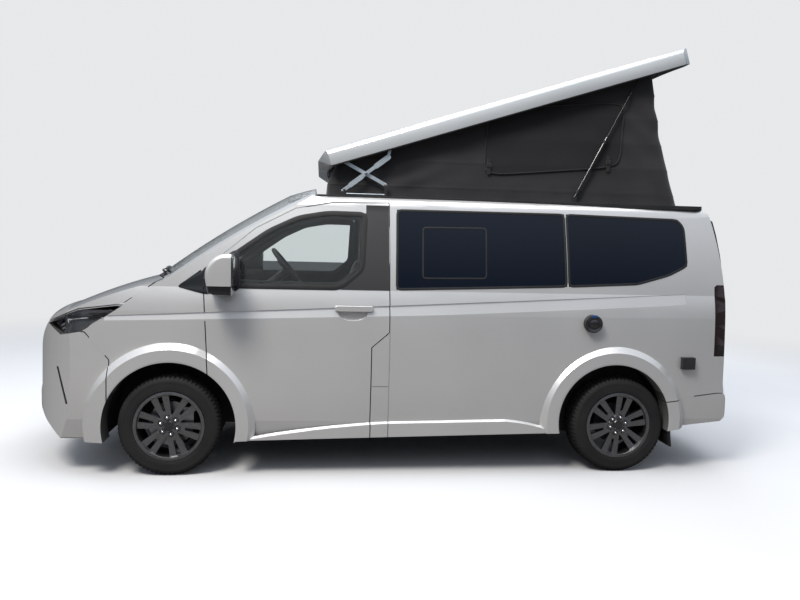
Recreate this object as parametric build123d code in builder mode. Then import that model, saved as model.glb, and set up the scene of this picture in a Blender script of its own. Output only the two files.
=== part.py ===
from build123d import *
import math
import os

# Camper van with a lifting roof, in millimetres. The origin is on the ground under the middle of the van,
# +Z up, the nose towards -X and the van's left side towards -Y. Each side is drawn once and mirrored.

os.makedirs("parts", exist_ok=True)

# Driving dimensions of the whole van
wheelbase = 3100.0
front_axle_x = -1520.0
rear_axle_x = front_axle_x + wheelbase
hub_height = 335.0
gap = 7.0
seat_gap = 0.3
reach = 3200.0

# Body skin: height, half width and wall thickness of the side section, from the sill to the gutter
SIDE = [
    # (name, height, half width, wall)
    ("hem", 225.0, 940.0, 60.0),
    ("sill", 246.0, 958.0, 60.0),
    ("rocker", 372.0, 984.0, 75.0),
    ("belly", 720.0, 1002.0, 80.0),
    ("crease", 1100.0, 992.0, 72.0),
    ("shoulder", 1190.0, 980.0, 68.0),
    ("waist", 1262.0, 964.0, 60.0),
    ("glass", 1560.0, 921.0, 48.0),
    ("rail", 1815.0, 868.0, 46.0),
    ("cant", 1865.0, 845.0, 44.0),
    ("gutter", 1894.0, 800.0, 42.0),
    ("above", 2010.0, 560.0, 42.0),
]
barrel_radius = 40000.0
barrel_middle_x = 100.0
crown_edge_height = 1888.0
crown_edge_half = 830.0
cab_crown = 1990.0
main_crown = 1922.0
crown_step_x = -580.0
roof_seam_height = 1850.0

# Nose and windscreen profile on the centre line, turned about an upright axis for the curve in plan
nose_axis_x = 600.0
NOSE = [
    # (name, x, z)
    ("lip", -2360.0, 225.0),
    ("chin", -2462.0, 330.0),
    ("bow low", -2512.0, 398.0),
    ("bow", -2525.0, 470.0),
    ("recess", -2498.0, 560.0),
    ("grille top", -2492.0, 800.0),
    ("brow", -2440.0, 1002.0),
    ("bonnet front", -2310.0, 1098.0),
    ("bonnet middle", -2030.0, 1215.0),
    ("cowl", -1745.0, 1305.0),
    ("screen foot", -1700.0, 1335.0),
    ("screen middle", -1190.0, 1690.0),
    ("screen top", -800.0, 1918.0),
    ("roof front", -640.0, 1968.0),
    ("roof", -500.0, 1995.0),
]

# Tail profile on the centre line
tail_axis_x = -1500.0
TAIL = [
    # (name, x, z)
    ("lip", 2440.0, 225.0),
    ("valance", 2470.0, 340.0),
    ("step low", 2522.0, 400.0),
    ("step", 2525.0, 500.0),
    ("step top", 2490.0, 560.0),
    ("gate foot", 2478.0, 640.0),
    ("gate waist", 2470.0, 1230.0),
    ("gate glass", 2420.0, 1560.0),
    ("gate top", 2345.0, 1840.0),
    ("roof edge", 2290.0, 1905.0),
]

# Plan corners
front_corner = [(-1760.0, 1017.0), (-2215.0, 900.0), (-2492.0, 480.0)]
rear_corner = [(2190.0, 1017.0), (2375.0, 945.0), (2462.0, 760.0)]

# Wheel arches
arch_radius = 432.0
front_arch_x = -1512.0
front_arch_z = 338.0
rear_arch_x = 1530.0
rear_arch_z = 372.0
rear_arch_radius = 402.0
flare_half = 1016.0
flare_band = 82.0
flare_slope = 42.0
front_house_half = 560.0
rear_house_half = 730.0
house_wall = 12.0

# Front door, window and pillar lines seen from the side
seam_lean = 0.08
door_front_x = -1297.0
door_front_low_x = -1268.0
door_rear_x = -67.0
door_step_x = -186.0
DOOR = [
    (door_front_low_x, 180.0),
    (door_front_low_x, 705.0),
    (door_front_x, 1235.0),
    (door_front_x, 1380.0),
    (-960.0, 1662.0),
    (-700.0, 1800.0),
    (-450.0, 1848.0),
    (door_rear_x, 1856.0),
    (door_rear_x, 981.0),
    (door_step_x, 878.0),
    (door_step_x, 180.0),
]
DOOR_WINDOW = [
    (-1255.0, 1268.0),
    (-1255.0, 1372.0),
    (-1071.0, 1512.0),
    (-878.0, 1650.0),
    (-681.0, 1745.0),
    (-481.0, 1782.0),
    (-223.0, 1780.0),
    (-245.0, 1398.0),
    (-399.0, 1268.0),
]
QUARTER = [(-1440.0, 1290.0), (-1322.0, 1290.0), (-1322.0, 1378.0)]
GLASS_FRONT = [(-26.0, 1268.0), (-26.0, 1812.0), (1158.0, 1816.0), (1172.0, 1309.0)]
GLASS_REAR = [
    (1184.0, 1309.0),
    (1170.0, 1816.0),
    (2010.0, 1804.0),
    (2058.0, 1750.0),
    (2072.0, 1470.0),
    (1930.0, 1400.0),
    (1693.0, 1334.0),
]
GLASS_SLIDING = [(-26.0, 1268.0), (-26.0, 1812.0), (1120.0, 1816.0), (1120.0, 1308.0)]
SLIDING = [(-58.0, 300.0), (-58.0, 1856.0), (1160.0, 1856.0), (1160.0, 300.0)]

# Bonnet, bumper, lamps seen from the side
BONNET_LOW = [(-2600.0, 1002.0), (-2330.0, 1008.0), (-2098.0, 1107.0), (-1819.0, 1143.0), (-1600.0, 1300.0)]
LAMP = [(-2330.0, 1000.0), (-2225.0, 934.0), (-2081.0, 962.0), (-1825.0, 1132.0), (-2098.0, 1096.0)]
lamp_inner_half = 600.0
BUMPER = [(-2600.0, 150.0), (-2600.0, 994.0), (-2335.0, 1000.0), (-2060.0, 955.0), (-1905.0, 775.0), (-1905.0, 150.0)]
bonnet_rear_radius = 2330.0
cowl_half = 790.0

# Tail pieces
gate_half = 772.0
lamp_side_half = 784.0
gate_low = 575.0
gate_top = 1872.0
gate_glass_half = 700.0
gate_glass_low = 1240.0
gate_glass_top = 1775.0
TAIL_LAMP = [(2282.0, 830.0), (2282.0, 1325.0), (2300.0, 1340.0), (2460.0, 1340.0), (2560.0, 830.0)]

# Lifting roof, drawn raised: a lift bar from the roof frame to the lid crosses a bar from the lid's pin
lid_angle = 17.8
pin_x = -397.0
pin_rest = 1934.0
pin_lift = 208.0
lid_half = 800.0
lid_edge = -14.0
lid_crown = 136.0
lid_wall = 24.0
lid_front = -161.0
lid_nose_round = 75.0
lid_rear = 2610.0
lift_elbow_x = -84.0
lift_elbow_z = 2176.0
lift_tip_x = -72.0
lift_tip_z = 2232.0
knee_x = -94.0
knee_z = 1985.0
bar_wide = 24.0
bar_thick = 7.0
lift_bar_half = 761.0
cross_bar_half = 744.0
strut_foot_x = 1266.0
strut_head_lid_x = 2224.0
strut_half = 732.0
strut_radius = 11.0
rod_radius = 5.0
strut_tube = 500.0
rim_ring_height = 13.0
rim_ring_wide = 66.0
rim_ring_half = 810.0
rim_front_x = -570.0
rim_rear_x = 2235.0
tent_half = 702.0

# Where the bars cross, and how far and how steeply the struts reach
lift_slope = (lift_elbow_z - pin_rest) / (lift_elbow_x - pin_x)
cross_slope = (pin_rest + pin_lift - knee_z) / (knee_x - pin_x)
cross_run = pin_lift / (lift_slope + cross_slope)
crossing_x = pin_x + cross_run
crossing_z = pin_rest + cross_run * lift_slope
head_x = pin_x + strut_head_lid_x * math.cos(math.radians(lid_angle))
head_z = pin_rest + pin_lift + strut_head_lid_x * math.sin(math.radians(lid_angle))
strut_long = math.hypot(head_x - strut_foot_x, head_z - pin_rest)
strut_lean = math.degrees(math.atan2(head_z - pin_rest, head_x - strut_foot_x))
door_hinge_x = -1302.0

# Wheels
tyre_radius = 335.0
tyre_width = 215.0
rim_radius = 232.0
wheel_face_half = 975.0
wheel_centre_half = wheel_face_half - tyre_width / 2
hub_radius = 78.0
king_pin_half = 800.0


def box(x0, x1, y0, y1, z0, z1):
    """A plain block between two corners."""
    middle = Pos((x0 + x1) / 2, (y0 + y1) / 2, (z0 + z1) / 2)
    return middle * Box(x1 - x0, y1 - y0, z1 - z0, mode=Mode.PRIVATE)


def side_points(inset):
    """Section points from the hem up, narrowed by the share inset of the wall."""
    return [(half - inset * wall, height) for _, height, half, wall in SIDE]


def side_solid(inset):
    """The left flank, turned about a far upright axis, so the van is widest at its middle."""
    points = side_points(inset)
    turn = math.degrees(reach / barrel_radius)
    axis_y = barrel_radius - SIDE[3][2]
    start = Plane(
        origin=(
            barrel_middle_x - barrel_radius * math.sin(math.radians(turn)),
            axis_y - barrel_radius * math.cos(math.radians(turn)),
            0,
        ),
        x_dir=(math.sin(math.radians(turn)), math.cos(math.radians(turn)), 0),
        z_dir=(math.cos(math.radians(turn)), -math.sin(math.radians(turn)), 0),
    )
    widest = SIDE[3][2]
    with BuildPart() as flank:
        with BuildSketch(start):
            with BuildLine():
                p = [(widest - half, height) for half, height in points]
                hem = (p[0][0], p[0][1] - 200)
                Polyline(hem, p[0], p[1], p[2])
                ThreePointArc(p[2], p[3], p[4])
                ThreePointArc(p[4], p[5], p[6])
                ThreePointArc(p[6], p[7], p[8])
                ThreePointArc(p[8], p[9], p[10])
                Polyline(p[10], p[11], (p[11][0] + 700, p[11][1] + 260), (2500, p[11][1] + 260), (2500, hem[1]), hem)
            make_face()
        revolve(axis=Axis((barrel_middle_x, axis_y, 0), (0, 0, 1)), revolution_arc=2 * turn)
    return flank.part


def crown_radius(crown):
    """Radius of a roof arc through both gutters."""
    rise = crown - crown_edge_height
    return (crown_edge_half**2 + rise**2) / (2 * rise)


def crown_point(crown, half):
    """Height of a roof arc at one half width."""
    return crown - crown_radius(crown) + math.sqrt(crown_radius(crown) ** 2 - half**2)


def above_crown(crown, drop):
    """Everything above one roof arc, from end to end."""
    wide = 1150.0
    low = crown_point(crown, wide) - drop
    with BuildPart() as above:
        with BuildSketch(Plane.YZ.offset(-reach)):
            with BuildLine():
                ThreePointArc((-wide, low), (0, crown - drop), (wide, low))
                Polyline((wide, low), (wide, 3300), (-wide, 3300), (-wide, low))
            make_face()
        extrude(amount=2 * reach)
    return above.part


def roof_cutter(drop):
    """Everything above the roof: high over the cab, lower under the lid."""
    with BuildPart() as over_cab:
        add(above_crown(main_crown, drop))
        add(above_crown(cab_crown, drop), mode=Mode.SUBTRACT)
        add(box(crown_step_x, 2 * reach, -1200, 1200, 0, 2600), mode=Mode.SUBTRACT)
    dome = over_cab.part
    with BuildPart() as above:
        add(above_crown(main_crown, drop))
        add(dome, mode=Mode.SUBTRACT)
    return above.part


def nose_cutter(shift):
    """Everything ahead of and above the nose, bonnet and windscreen."""
    p = [(x + shift, z) for _, x, z in NOSE]
    with BuildPart() as ahead:
        with BuildSketch(Plane.XZ):
            with BuildLine():
                Polyline((-3600, 0), (p[0][0], 0), p[0], p[1], p[2], p[3])
                Polyline(p[3], p[4], p[5])
                ThreePointArc(p[5], ((p[5][0] + p[6][0]) / 2 - 14, (p[5][1] + p[6][1]) / 2), p[6])
                ThreePointArc(p[6], ((p[6][0] + p[7][0]) / 2 - 16, (p[6][1] + p[7][1]) / 2 + 16), p[7])
                ThreePointArc(p[7], p[8], p[9])
                Line(p[9], p[10])
                ThreePointArc(p[10], p[11], p[12])
                ThreePointArc(p[12], p[13], p[14])
                Polyline(p[14], (p[14][0], 2600), (-3600, 2600), (-3600, 0))
            make_face()
        revolve(axis=Axis((nose_axis_x, 0, 0), (0, 0, 1)), revolution_arc=90)
        mirror(about=Plane.XZ)
    return ahead.part


def tail_cutter(shift):
    """Everything behind the tail."""
    p = [(x - shift, z) for _, x, z in TAIL]
    with BuildPart() as behind:
        with BuildSketch(Plane.XZ):
            with BuildLine():
                Polyline((3600, 0), (p[0][0], 0), *p[0:7])
                ThreePointArc(p[6], p[7], p[8])
                Polyline(p[8], p[9], (p[9][0] - 60, 2600), (3600, 2600), (3600, 0))
            make_face()
        revolve(axis=Axis((tail_axis_x, 0, 0), (0, 0, 1)), revolution_arc=40)
        mirror(about=Plane.XZ)
    return behind.part


def corner_cutter(corner, sign, shift):
    """What lies outside one pair of plan corners; sign is -1 at the nose and 1 at the tail."""
    side, middle, front = [(x - sign * shift, y - shift * 0.8) for x, y in corner]
    with BuildPart() as outside:
        with BuildSketch(Plane.XY):
            with BuildLine():
                ThreePointArc(side, middle, front)
                Polyline(front, (sign * 2800, front[1]), (sign * 2800, 1300), (side[0], 1300), side)
            make_face()
        extrude(amount=2600)
        mirror(about=Plane.XZ)
    return outside.part


def body_form(inset, nose_shift, tail_shift, crown_drop, bottom):
    """The van's closed outer form, or one inside it."""
    flank = side_solid(inset)
    with BuildPart() as form:
        add(flank)
        add(flank.mirror(Plane.XZ), mode=Mode.INTERSECT)
        add(roof_cutter(crown_drop), mode=Mode.SUBTRACT)
        add(nose_cutter(nose_shift), mode=Mode.SUBTRACT)
        add(tail_cutter(tail_shift), mode=Mode.SUBTRACT)
        add(corner_cutter(front_corner, -1, nose_shift), mode=Mode.SUBTRACT)
        add(corner_cutter(rear_corner, 1, tail_shift), mode=Mode.SUBTRACT)
        with BuildSketch(Plane.XY):
            Rectangle(2 * reach, 2 * reach)
        extrude(amount=bottom, mode=Mode.SUBTRACT)
    return form.part


def side_prism(points, side, near=1250.0, depth=1250.0, lean=0.0, grow=0.0):
    """A prism through one flank, drawn from the side; side is -1 for left, 1 for right, 0 for both."""
    points = [(x + lean * (near - SIDE[3][2]), z) for x, z in points]
    with BuildPart() as prism:
        with BuildSketch(Plane.XZ.offset(near)):
            with BuildLine():
                Polyline(*points, close=True)
            make_face()
            if grow:
                offset(amount=grow, kind=Kind.INTERSECTION)
        extrude(amount=depth, dir=Vector(-lean, 1, 0))
        if side == 0:
            mirror(about=Plane.XZ)
    if side > 0:
        return prism.part.mirror(Plane.XZ)
    return prism.part


def disc(x, z, radius, half_out, half_in):
    """Two round slugs on one axle line, one at each side."""
    with BuildPart() as slugs:
        with BuildSketch(Plane.XZ.offset(half_out)):
            with Locations((x, z)):
                Circle(radius)
        extrude(amount=-(half_out - half_in))
        mirror(about=Plane.XZ)
    return slugs.part


def flare(x, z, lip_radius):
    """Wheel arch flares of one axle: an upright band round the lip, then a slope down to the flank."""
    band_radius = lip_radius + flare_band
    with BuildPart() as rings:
        with BuildSketch(Plane.XY):
            with BuildLine():
                Polyline(
                    (lip_radius - 30, 900),
                    (lip_radius - 30, flare_half - 8),
                    (lip_radius + 10, flare_half),
                    (band_radius, flare_half - 2),
                    (band_radius + flare_slope, flare_half - flare_slope),
                    (band_radius + flare_slope, 900),
                    close=True,
                )
            make_face()
        revolve(axis=Axis.Y)
        mirror(about=Plane.XZ)
    return Pos(x, 0, z) * rings.part


def save(name, solid):
    """Labels one finished piece and writes it."""
    solid.label = name
    export_step(solid, f"parts/{name}.step")


# The forms that the panels are cut from
outer = body_form(0.0, 0.0, 0.0, 0.0, 236.0)
inner = body_form(1.0, 62.0, 50.0, 30.0, 120.0)
under_glass = body_form(0.1, 11.0, 6.0, 6.0, 236.0)
HEM = [
    # (x, z) of the lower edge of the body
    (-1085.0, 243.0),
    (-48.0, 266.0),
    (1150.0, 290.0),
    (1150.0, 300.0),
    (1900.0, 300.0),
    (2030.0, 317.0),
    (2700.0, 384.0),
]
with BuildPart() as hem_cut:
    with BuildSketch(Plane.XZ):
        with BuildLine():
            Polyline((-reach, 236.0), (-1085.0, 236.0), *HEM, (2700.0, -300.0), (-reach, -300.0), close=True)
        make_face()
    extrude(amount=1200, both=True)
below_sill = hem_cut.part
front_arches = disc(front_arch_x, front_arch_z, arch_radius, 1150, front_house_half)
rear_arches = disc(rear_arch_x, rear_arch_z, rear_arch_radius, 1150, rear_house_half)
nose_corners = corner_cutter(front_corner, -1, 0)
front_flares = flare(front_arch_x, front_arch_z, arch_radius)
rear_flares = flare(rear_arch_x, rear_arch_z, rear_arch_radius)

# Belt crease: a shallow recess under a line that rises to the rear, fading out below it
crease_height = 1170.0
crease_depth = 9.0
crease_fade = 76.0
crease_half = 983.0
crease_rise = 2.95
crease_yaw = 0.41
crease_ends = (-1935.0, 2060.0)
turn = math.degrees(crease_ends[1] / barrel_radius)
axis_y = barrel_radius - SIDE[3][2]
with BuildPart() as recess:
    with BuildSketch(Plane.YZ.offset(barrel_middle_x)):
        with BuildLine():
            Polyline(
                (-crease_half + crease_depth, crease_height),
                (-1060.0, crease_height),
                (-1060.0, crease_height - crease_fade - 10),
                (-crease_half - 10, crease_height - crease_fade),
                close=True,
            )
        make_face()
    revolve(axis=Axis((barrel_middle_x, axis_y, 0), (0, 0, 1)), revolution_arc=turn)
    mirror(about=Plane.YZ.offset(barrel_middle_x))
crease_tilt = Location((barrel_middle_x, 0, crease_height), (0, -crease_rise, crease_yaw))
crease_left = recess.part.moved(Location((-barrel_middle_x, 0, -crease_height))).moved(crease_tilt)
with BuildPart() as recess:
    add(crease_left)
    add(box(*crease_ends, -1100, 0, 0, 2000), mode=Mode.INTERSECT)
crease_left = recess.part

# Rocker: the lower door panels stand out below a line that arches between the wheels
with BuildPart() as bulge:
    for near, depth, tilt in ((900.0, 82.0, 0.0), (982.0, 18.0, 35.0)):
        with BuildSketch(Plane.XZ.offset(near)):
            with BuildLine():
                Polyline((-1010.0, 262.0), (-1010.0, 200.0), (1160.0, 200.0), (1160.0, 285.0))
                ThreePointArc((1160.0, 285.0), (985.0, 345.0), (748.0, 384.0))
                Line((748.0, 384.0), (-65.0, 371.0))
                ThreePointArc((-65.0, 371.0), (-620.0, 322.0), (-1010.0, 262.0))
            make_face()
        extrude(amount=depth, taper=tilt)
    mirror(about=Plane.XZ)
rocker_bulge = bulge.part

with BuildPart() as skin:
    add(outer)
    add(crease_left, mode=Mode.SUBTRACT)
    add(crease_left.mirror(Plane.XZ), mode=Mode.SUBTRACT)
    add(rocker_bulge)
    add(front_flares)
    add(rear_flares)
    add(below_sill, mode=Mode.SUBTRACT)
    add(nose_corners, mode=Mode.SUBTRACT)
    add(inner, mode=Mode.SUBTRACT)
    add(front_arches, mode=Mode.SUBTRACT)
    add(rear_arches, mode=Mode.SUBTRACT)
shell = skin.part

with BuildPart() as pane:
    add(outer)
    add(under_glass, mode=Mode.SUBTRACT)
glass_layer = pane.part


def face_prism(points, x0, x1, grow=0.0):
    """A prism through the nose or the tail, drawn from the front as half and height."""
    with BuildPart() as prism:
        with BuildSketch(Plane.YZ.offset(x0)):
            with BuildLine():
                Polyline(*points, close=True)
            make_face()
            if grow:
                offset(amount=grow, kind=Kind.INTERSECTION)
        extrude(amount=x1 - x0)
    return prism.part


def screen_prism(grow):
    """The space that the windscreen fills."""
    foot = 2297.0
    head = 1405.0
    with BuildPart() as prism:
        with BuildSketch(Plane.XY.offset(1200)):
            with Locations((nose_axis_x, 0)):
                Circle(foot + grow)
                Circle(head - grow, mode=Mode.SUBTRACT)
            with Locations((nose_axis_x + 1500, 0)):
                Rectangle(3000, 6000, mode=Mode.SUBTRACT)
        extrude(amount=900)
        with BuildSketch(Plane.YZ.offset(-2600)):
            with BuildLine():
                wide = [(-878.0 - grow, 1200.0), (-722.0 - grow, 2050.0)]
                Polyline(*wide, (-wide[1][0], wide[1][1]), (-wide[0][0], wide[0][1]), close=True)
            make_face()
        extrude(amount=3200, mode=Mode.INTERSECT)
    return prism.part


def cowl_prism(grow):
    """The strip between the bonnet and the windscreen."""
    with BuildPart() as prism:
        with BuildSketch(Plane.XY.offset(1200)):
            with Locations((nose_axis_x, 0)):
                Circle(bonnet_rear_radius + 10)
                Circle(2290.0, mode=Mode.SUBTRACT)
            with Locations((nose_axis_x + 1500, 0)):
                Rectangle(3000, 6000, mode=Mode.SUBTRACT)
            Rectangle(6000, 2 * (cowl_half + grow), mode=Mode.INTERSECT)
        extrude(amount=300)
    return prism.part


def bonnet_prism(grow):
    """The space of the bonnet, over its shut line."""
    line = BONNET_LOW + [(-1560.0, 1330.0), (-1560.0, 1600.0), (-2650.0, 1600.0), (-2650.0, 1002.0)]
    with BuildPart() as prism:
        add(side_prism(line, 0, grow=grow))
        with BuildSketch(Plane.XY):
            with Locations((nose_axis_x, 0)):
                Circle(bonnet_rear_radius - grow)
        extrude(amount=2000, mode=Mode.SUBTRACT)
    return prism.part


def lamp_prism(grow):
    """The space of both headlamps."""
    with BuildPart() as prism:
        add(side_prism(LAMP, 0, grow=grow))
        add(box(-3000, 0, -lamp_inner_half + grow, lamp_inner_half - grow, 0, 2000), mode=Mode.SUBTRACT)
    return prism.part


def tail_lamp_prism(grow):
    """The space of both tail lamps."""
    with BuildPart() as prism:
        add(side_prism(TAIL_LAMP, 0, grow=grow))
        add(box(2000, 3000, -lamp_side_half + grow, lamp_side_half - grow, 0, 2000), mode=Mode.SUBTRACT)
    return prism.part


half_gap = gap / 2
GATE = [(-gate_half, gate_low), (-gate_half, 1500.0), (-gate_half + 60, gate_top)]
GATE = GATE + [(-y, z) for y, z in reversed(GATE)]
GATE_GLASS = [
    (-gate_glass_half, gate_glass_low),
    (-gate_glass_half - 8, 1500.0),
    (-gate_glass_half + 34, gate_glass_top),
]
GATE_GLASS = GATE_GLASS + [(-y, z) for y, z in reversed(GATE_GLASS)]
GRILLE_TOP = [(-560.0, 800.0), (-520.0, 960.0), (520.0, 960.0), (560.0, 800.0), (470.0, 742.0), (-470.0, 742.0)]
GRILLE_LOW = [(-690.0, 330.0), (-620.0, 540.0), (620.0, 540.0), (690.0, 330.0)]
REAR_BUMPER = [(1860.0, 150.0), (1860.0, 505.0), (2320.0, 560.0), (2700.0, 560.0), (2700.0, 150.0)]

bonnet_space = bonnet_prism(half_gap)
lamp_space = lamp_prism(half_gap)
bumper_space = side_prism(BUMPER, 0, grow=half_gap)
screen_space = screen_prism(0.0)
door_space_left = side_prism(DOOR, -1, lean=seam_lean, grow=half_gap)
door_space_right = door_space_left.mirror(Plane.XZ)
quarter_space = side_prism(QUARTER, 0)
sliding_space = side_prism(SLIDING, 1, grow=half_gap)
rear_glass_space = side_prism(GLASS_REAR, 0)
front_glass_left = side_prism(GLASS_FRONT, -1)
gate_space = face_prism(GATE, 2100, 2700, grow=half_gap)
tail_lamp_space = tail_lamp_prism(seat_gap)
rear_bumper_space = side_prism(REAR_BUMPER, 0, grow=half_gap)
roof_hole = box(-150, 1720, -540, 540, 1800, 2100)


def seam_tabs(space_out, space_in, places):
    """What fills a seam between two outlines at a few places, below the skin."""
    with BuildPart() as seam:
        add(shell)
        add(space_out, mode=Mode.INTERSECT)
        add(space_in, mode=Mode.SUBTRACT)
    with BuildPart() as chosen:
        for place in places:
            add(box(*place))
        add(seam.part, mode=Mode.INTERSECT)
    return chosen.part


def both_sides(places):
    """The same boxes at the left and at the right."""
    return places + [(x0, x1, -y1, -y0, z0, z1) for x0, x1, y0, y1, z0, z1 in places]


# Seats in the seams: hinge leaves, lamp and bumper brackets, door rollers and bonnet buffers
tab_seat = -half_gap + seat_gap
hinge_places = [(-1330, -1230, -985, -940, 610, 670), (-1330, -1230, -972, -925, 1040, 1100)]
door_seam = side_prism(DOOR, -1, lean=seam_lean, grow=tab_seat)
door_leaves = seam_tabs(door_space_left, door_seam, hinge_places)
bonnet_buffers = seam_tabs(bonnet_space, bonnet_prism(tab_seat), both_sides([(-1760, -1660, 800, 960, 1100, 1260)]))
lamp_tabs = seam_tabs(lamp_space, lamp_prism(0.0), both_sides([(-2030, -1955, 800, 990, 950, 1080)]))
bumper_tabs = seam_tabs(bumper_space, side_prism(BUMPER, 0, grow=tab_seat),
                        both_sides([(-2030, -1930, 925, 985, 770, 960)]))
rear_bumper_tabs = seam_tabs(rear_bumper_space, side_prism(REAR_BUMPER, 0, grow=tab_seat),
                             both_sides([(2000, 2150, 925, 985, 500, 570)]))
sliding_tabs = seam_tabs(sliding_space, side_prism(SLIDING, 1, grow=tab_seat),
                         [(100, 180, 925, 970, 280, 320), (900, 980, 925, 970, 280, 320),
                          (100, 180, 790, 835, 1840, 1870), (1100, 1180, 925, 985, 1000, 1060)])
gate_leaves = seam_tabs(gate_space, face_prism(GATE, 2100, 2700, grow=tab_seat),
                        both_sides([(2255, 2300, 380, 460, 1860, 1880)]))
seam_boxes = [
    # (low x, high x, low z, high z) of the fuel flap's seams
    (door_rear_x, door_rear_x + 5, 200, 985),
    (door_step_x - half_gap, door_rear_x + 5, 611, 615),
]
with BuildPart() as seams:
    for x0, x1, z0, z1 in seam_boxes:
        add(box(x0, x1, -1100, -900, z0, z1))
    add(under_glass, mode=Mode.SUBTRACT)
flap_seams = seams.part
with BuildPart() as body:
    add(shell)
    add(flap_seams, mode=Mode.SUBTRACT)
    add(bonnet_space, mode=Mode.SUBTRACT)
    add(lamp_space, mode=Mode.SUBTRACT)
    add(bumper_space, mode=Mode.SUBTRACT)
    add(screen_space, mode=Mode.SUBTRACT)
    add(cowl_prism(0.0), mode=Mode.SUBTRACT)
    add(door_space_left, mode=Mode.SUBTRACT)
    add(door_space_right, mode=Mode.SUBTRACT)
    add(quarter_space, mode=Mode.SUBTRACT)
    add(sliding_space, mode=Mode.SUBTRACT)
    add(rear_glass_space, mode=Mode.SUBTRACT)
    add(front_glass_left, mode=Mode.SUBTRACT)
    add(gate_space, mode=Mode.SUBTRACT)
    add(tail_lamp_space, mode=Mode.SUBTRACT)
    add(rear_bumper_space, mode=Mode.SUBTRACT)
    add(roof_hole, mode=Mode.SUBTRACT)
    for tabs in (door_leaves, door_leaves.mirror(Plane.XZ), bonnet_buffers, lamp_tabs, bumper_tabs,
                 rear_bumper_tabs, sliding_tabs, gate_leaves):
        add(tabs)
body_whole = body.part

# The roof panel sits on the two side panels at the height of the rails
with BuildPart() as sides:
    add(body_whole)
    split(bisect_by=Plane.XY.offset(roof_seam_height), keep=Keep.BOTTOM)
save("body_shell", sides.part)
with BuildPart() as roof:
    add(body_whole)
    split(bisect_by=Plane.XY.offset(roof_seam_height), keep=Keep.TOP)
save("roof_panel", roof.part)


def panel(space_maker, *cutters):
    """A piece of the body skin inside one space, less the cutters."""
    with BuildPart() as piece:
        add(shell)
        add(space_maker, mode=Mode.INTERSECT)
        for cutter in cutters:
            add(cutter, mode=Mode.SUBTRACT)
    return piece.part


def glazing(space):
    """A pane that fills one space, flush with the body."""
    with BuildPart() as piece:
        add(glass_layer)
        add(space, mode=Mode.INTERSECT)
    return piece.part


# Bonnet, bumpers, grille and lamps
air_slit = side_prism([(-2262.0, 718.0), (-2246.0, 716.0), (-2174.0, 476.0), (-2190.0, 474.0)], 0)
save("bonnet", panel(bonnet_prism(-half_gap), lamp_space))

grille_top_space = face_prism(GRILLE_TOP, -2700, -2200)
grille_low_space = face_prism(GRILLE_LOW, -2700, -2200)
front_skin = side_prism(BUMPER, 0, grow=-half_gap)
save("front_bumper", panel(front_skin, lamp_space, grille_top_space, grille_low_space, air_slit))

with BuildPart() as grille_slots:
    with Locations(*[(-2450, 0, z) for z in range(360, 530, 34)]):
        Box(600, 1100, 20)
    with Locations(*[(-2450, 0, z) for z in range(765, 950, 34)]):
        Box(600, 880, 20)
slots = grille_slots.part
with BuildPart() as grille:
    add(shell)
    add(face_prism(GRILLE_TOP, -2700, -2200, grow=-seat_gap), mode=Mode.INTERSECT)
    add(slots, mode=Mode.SUBTRACT)
grille_top = grille.part
with BuildPart() as grille:
    add(shell)
    add(face_prism(GRILLE_LOW, -2700, -2200, grow=-seat_gap), mode=Mode.INTERSECT)
    add(slots, mode=Mode.SUBTRACT)
    add(grille_top)
save("grille", grille.part)

save("headlamps", panel(lamp_prism(-seat_gap)))
save("tail_lamps", panel(tail_lamp_prism(-seat_gap)))
save("rear_bumper", panel(side_prism(REAR_BUMPER, 0, grow=-half_gap)))

# Glass of the body
save("windscreen", glazing(screen_prism(-seat_gap)))
quarter_pane = glazing(side_prism(QUARTER, 0, grow=-seat_gap))
front_pane = glazing(side_prism(GLASS_FRONT, -1, grow=-seat_gap))
sliding_pane = glazing(side_prism(GLASS_SLIDING, 1, grow=-seat_gap))
rear_pane = glazing(side_prism(GLASS_REAR, 0, grow=-seat_gap))
with BuildPart() as side_glass:
    add(quarter_pane)
    add(front_pane)
    add(sliding_pane)
    add(rear_pane)
save("side_glass", side_glass.part)


def door_handle(x, z, side, half):
    """A pull handle over a round recess: (recess to cut, handle to add)."""
    with BuildPart() as dish:
        with BuildSketch(Plane.XZ.offset(half - 16)):
            with Locations((x - 8, z - 30)):
                Ellipse(92, 46)
        extrude(amount=60, taper=-18)
    with BuildPart() as pull:
        with BuildSketch(Plane.XZ.offset(half + 3)):
            with Locations((x, z)):
                SlotOverall(262, 40)
        extrude(amount=17, taper=12)
        with BuildSketch(Plane.XZ.offset(half - 24)):
            with Locations((x - 112, z), (x + 98, z)):
                Circle(16)
        extrude(amount=30)
    if side > 0:
        return dish.part.mirror(Plane.XZ), pull.part.mirror(Plane.XZ)
    return dish.part, pull.part


# Doors
handle_dish, handle_pull = door_handle(-308.0, 1138.0, -1, 986.0)
slide_dish, slide_pull = door_handle(150.0, 1150.0, 1, 984.0)
door_window_space = side_prism(DOOR_WINDOW, -1, lean=seam_lean)
door_panel = panel(side_prism(DOOR, -1, lean=seam_lean, grow=-half_gap), door_window_space, handle_dish)
with BuildPart() as door:
    add(door_panel)
    add(handle_pull)
door_blank = door.part
save("front_door_left", door_blank)
save("front_door_right", door_blank.mirror(Plane.XZ))
door_pane = glazing(side_prism(DOOR_WINDOW, -1, lean=seam_lean, grow=-seat_gap))
save("door_glass_left", door_pane)
save("door_glass_right", door_pane.mirror(Plane.XZ))
sliding_panel = panel(side_prism(SLIDING, 1, grow=-half_gap), side_prism(GLASS_SLIDING, 1), slide_dish)
with BuildPart() as sliding:
    add(sliding_panel)
    add(slide_pull)
save("sliding_door", sliding.part)

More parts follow.
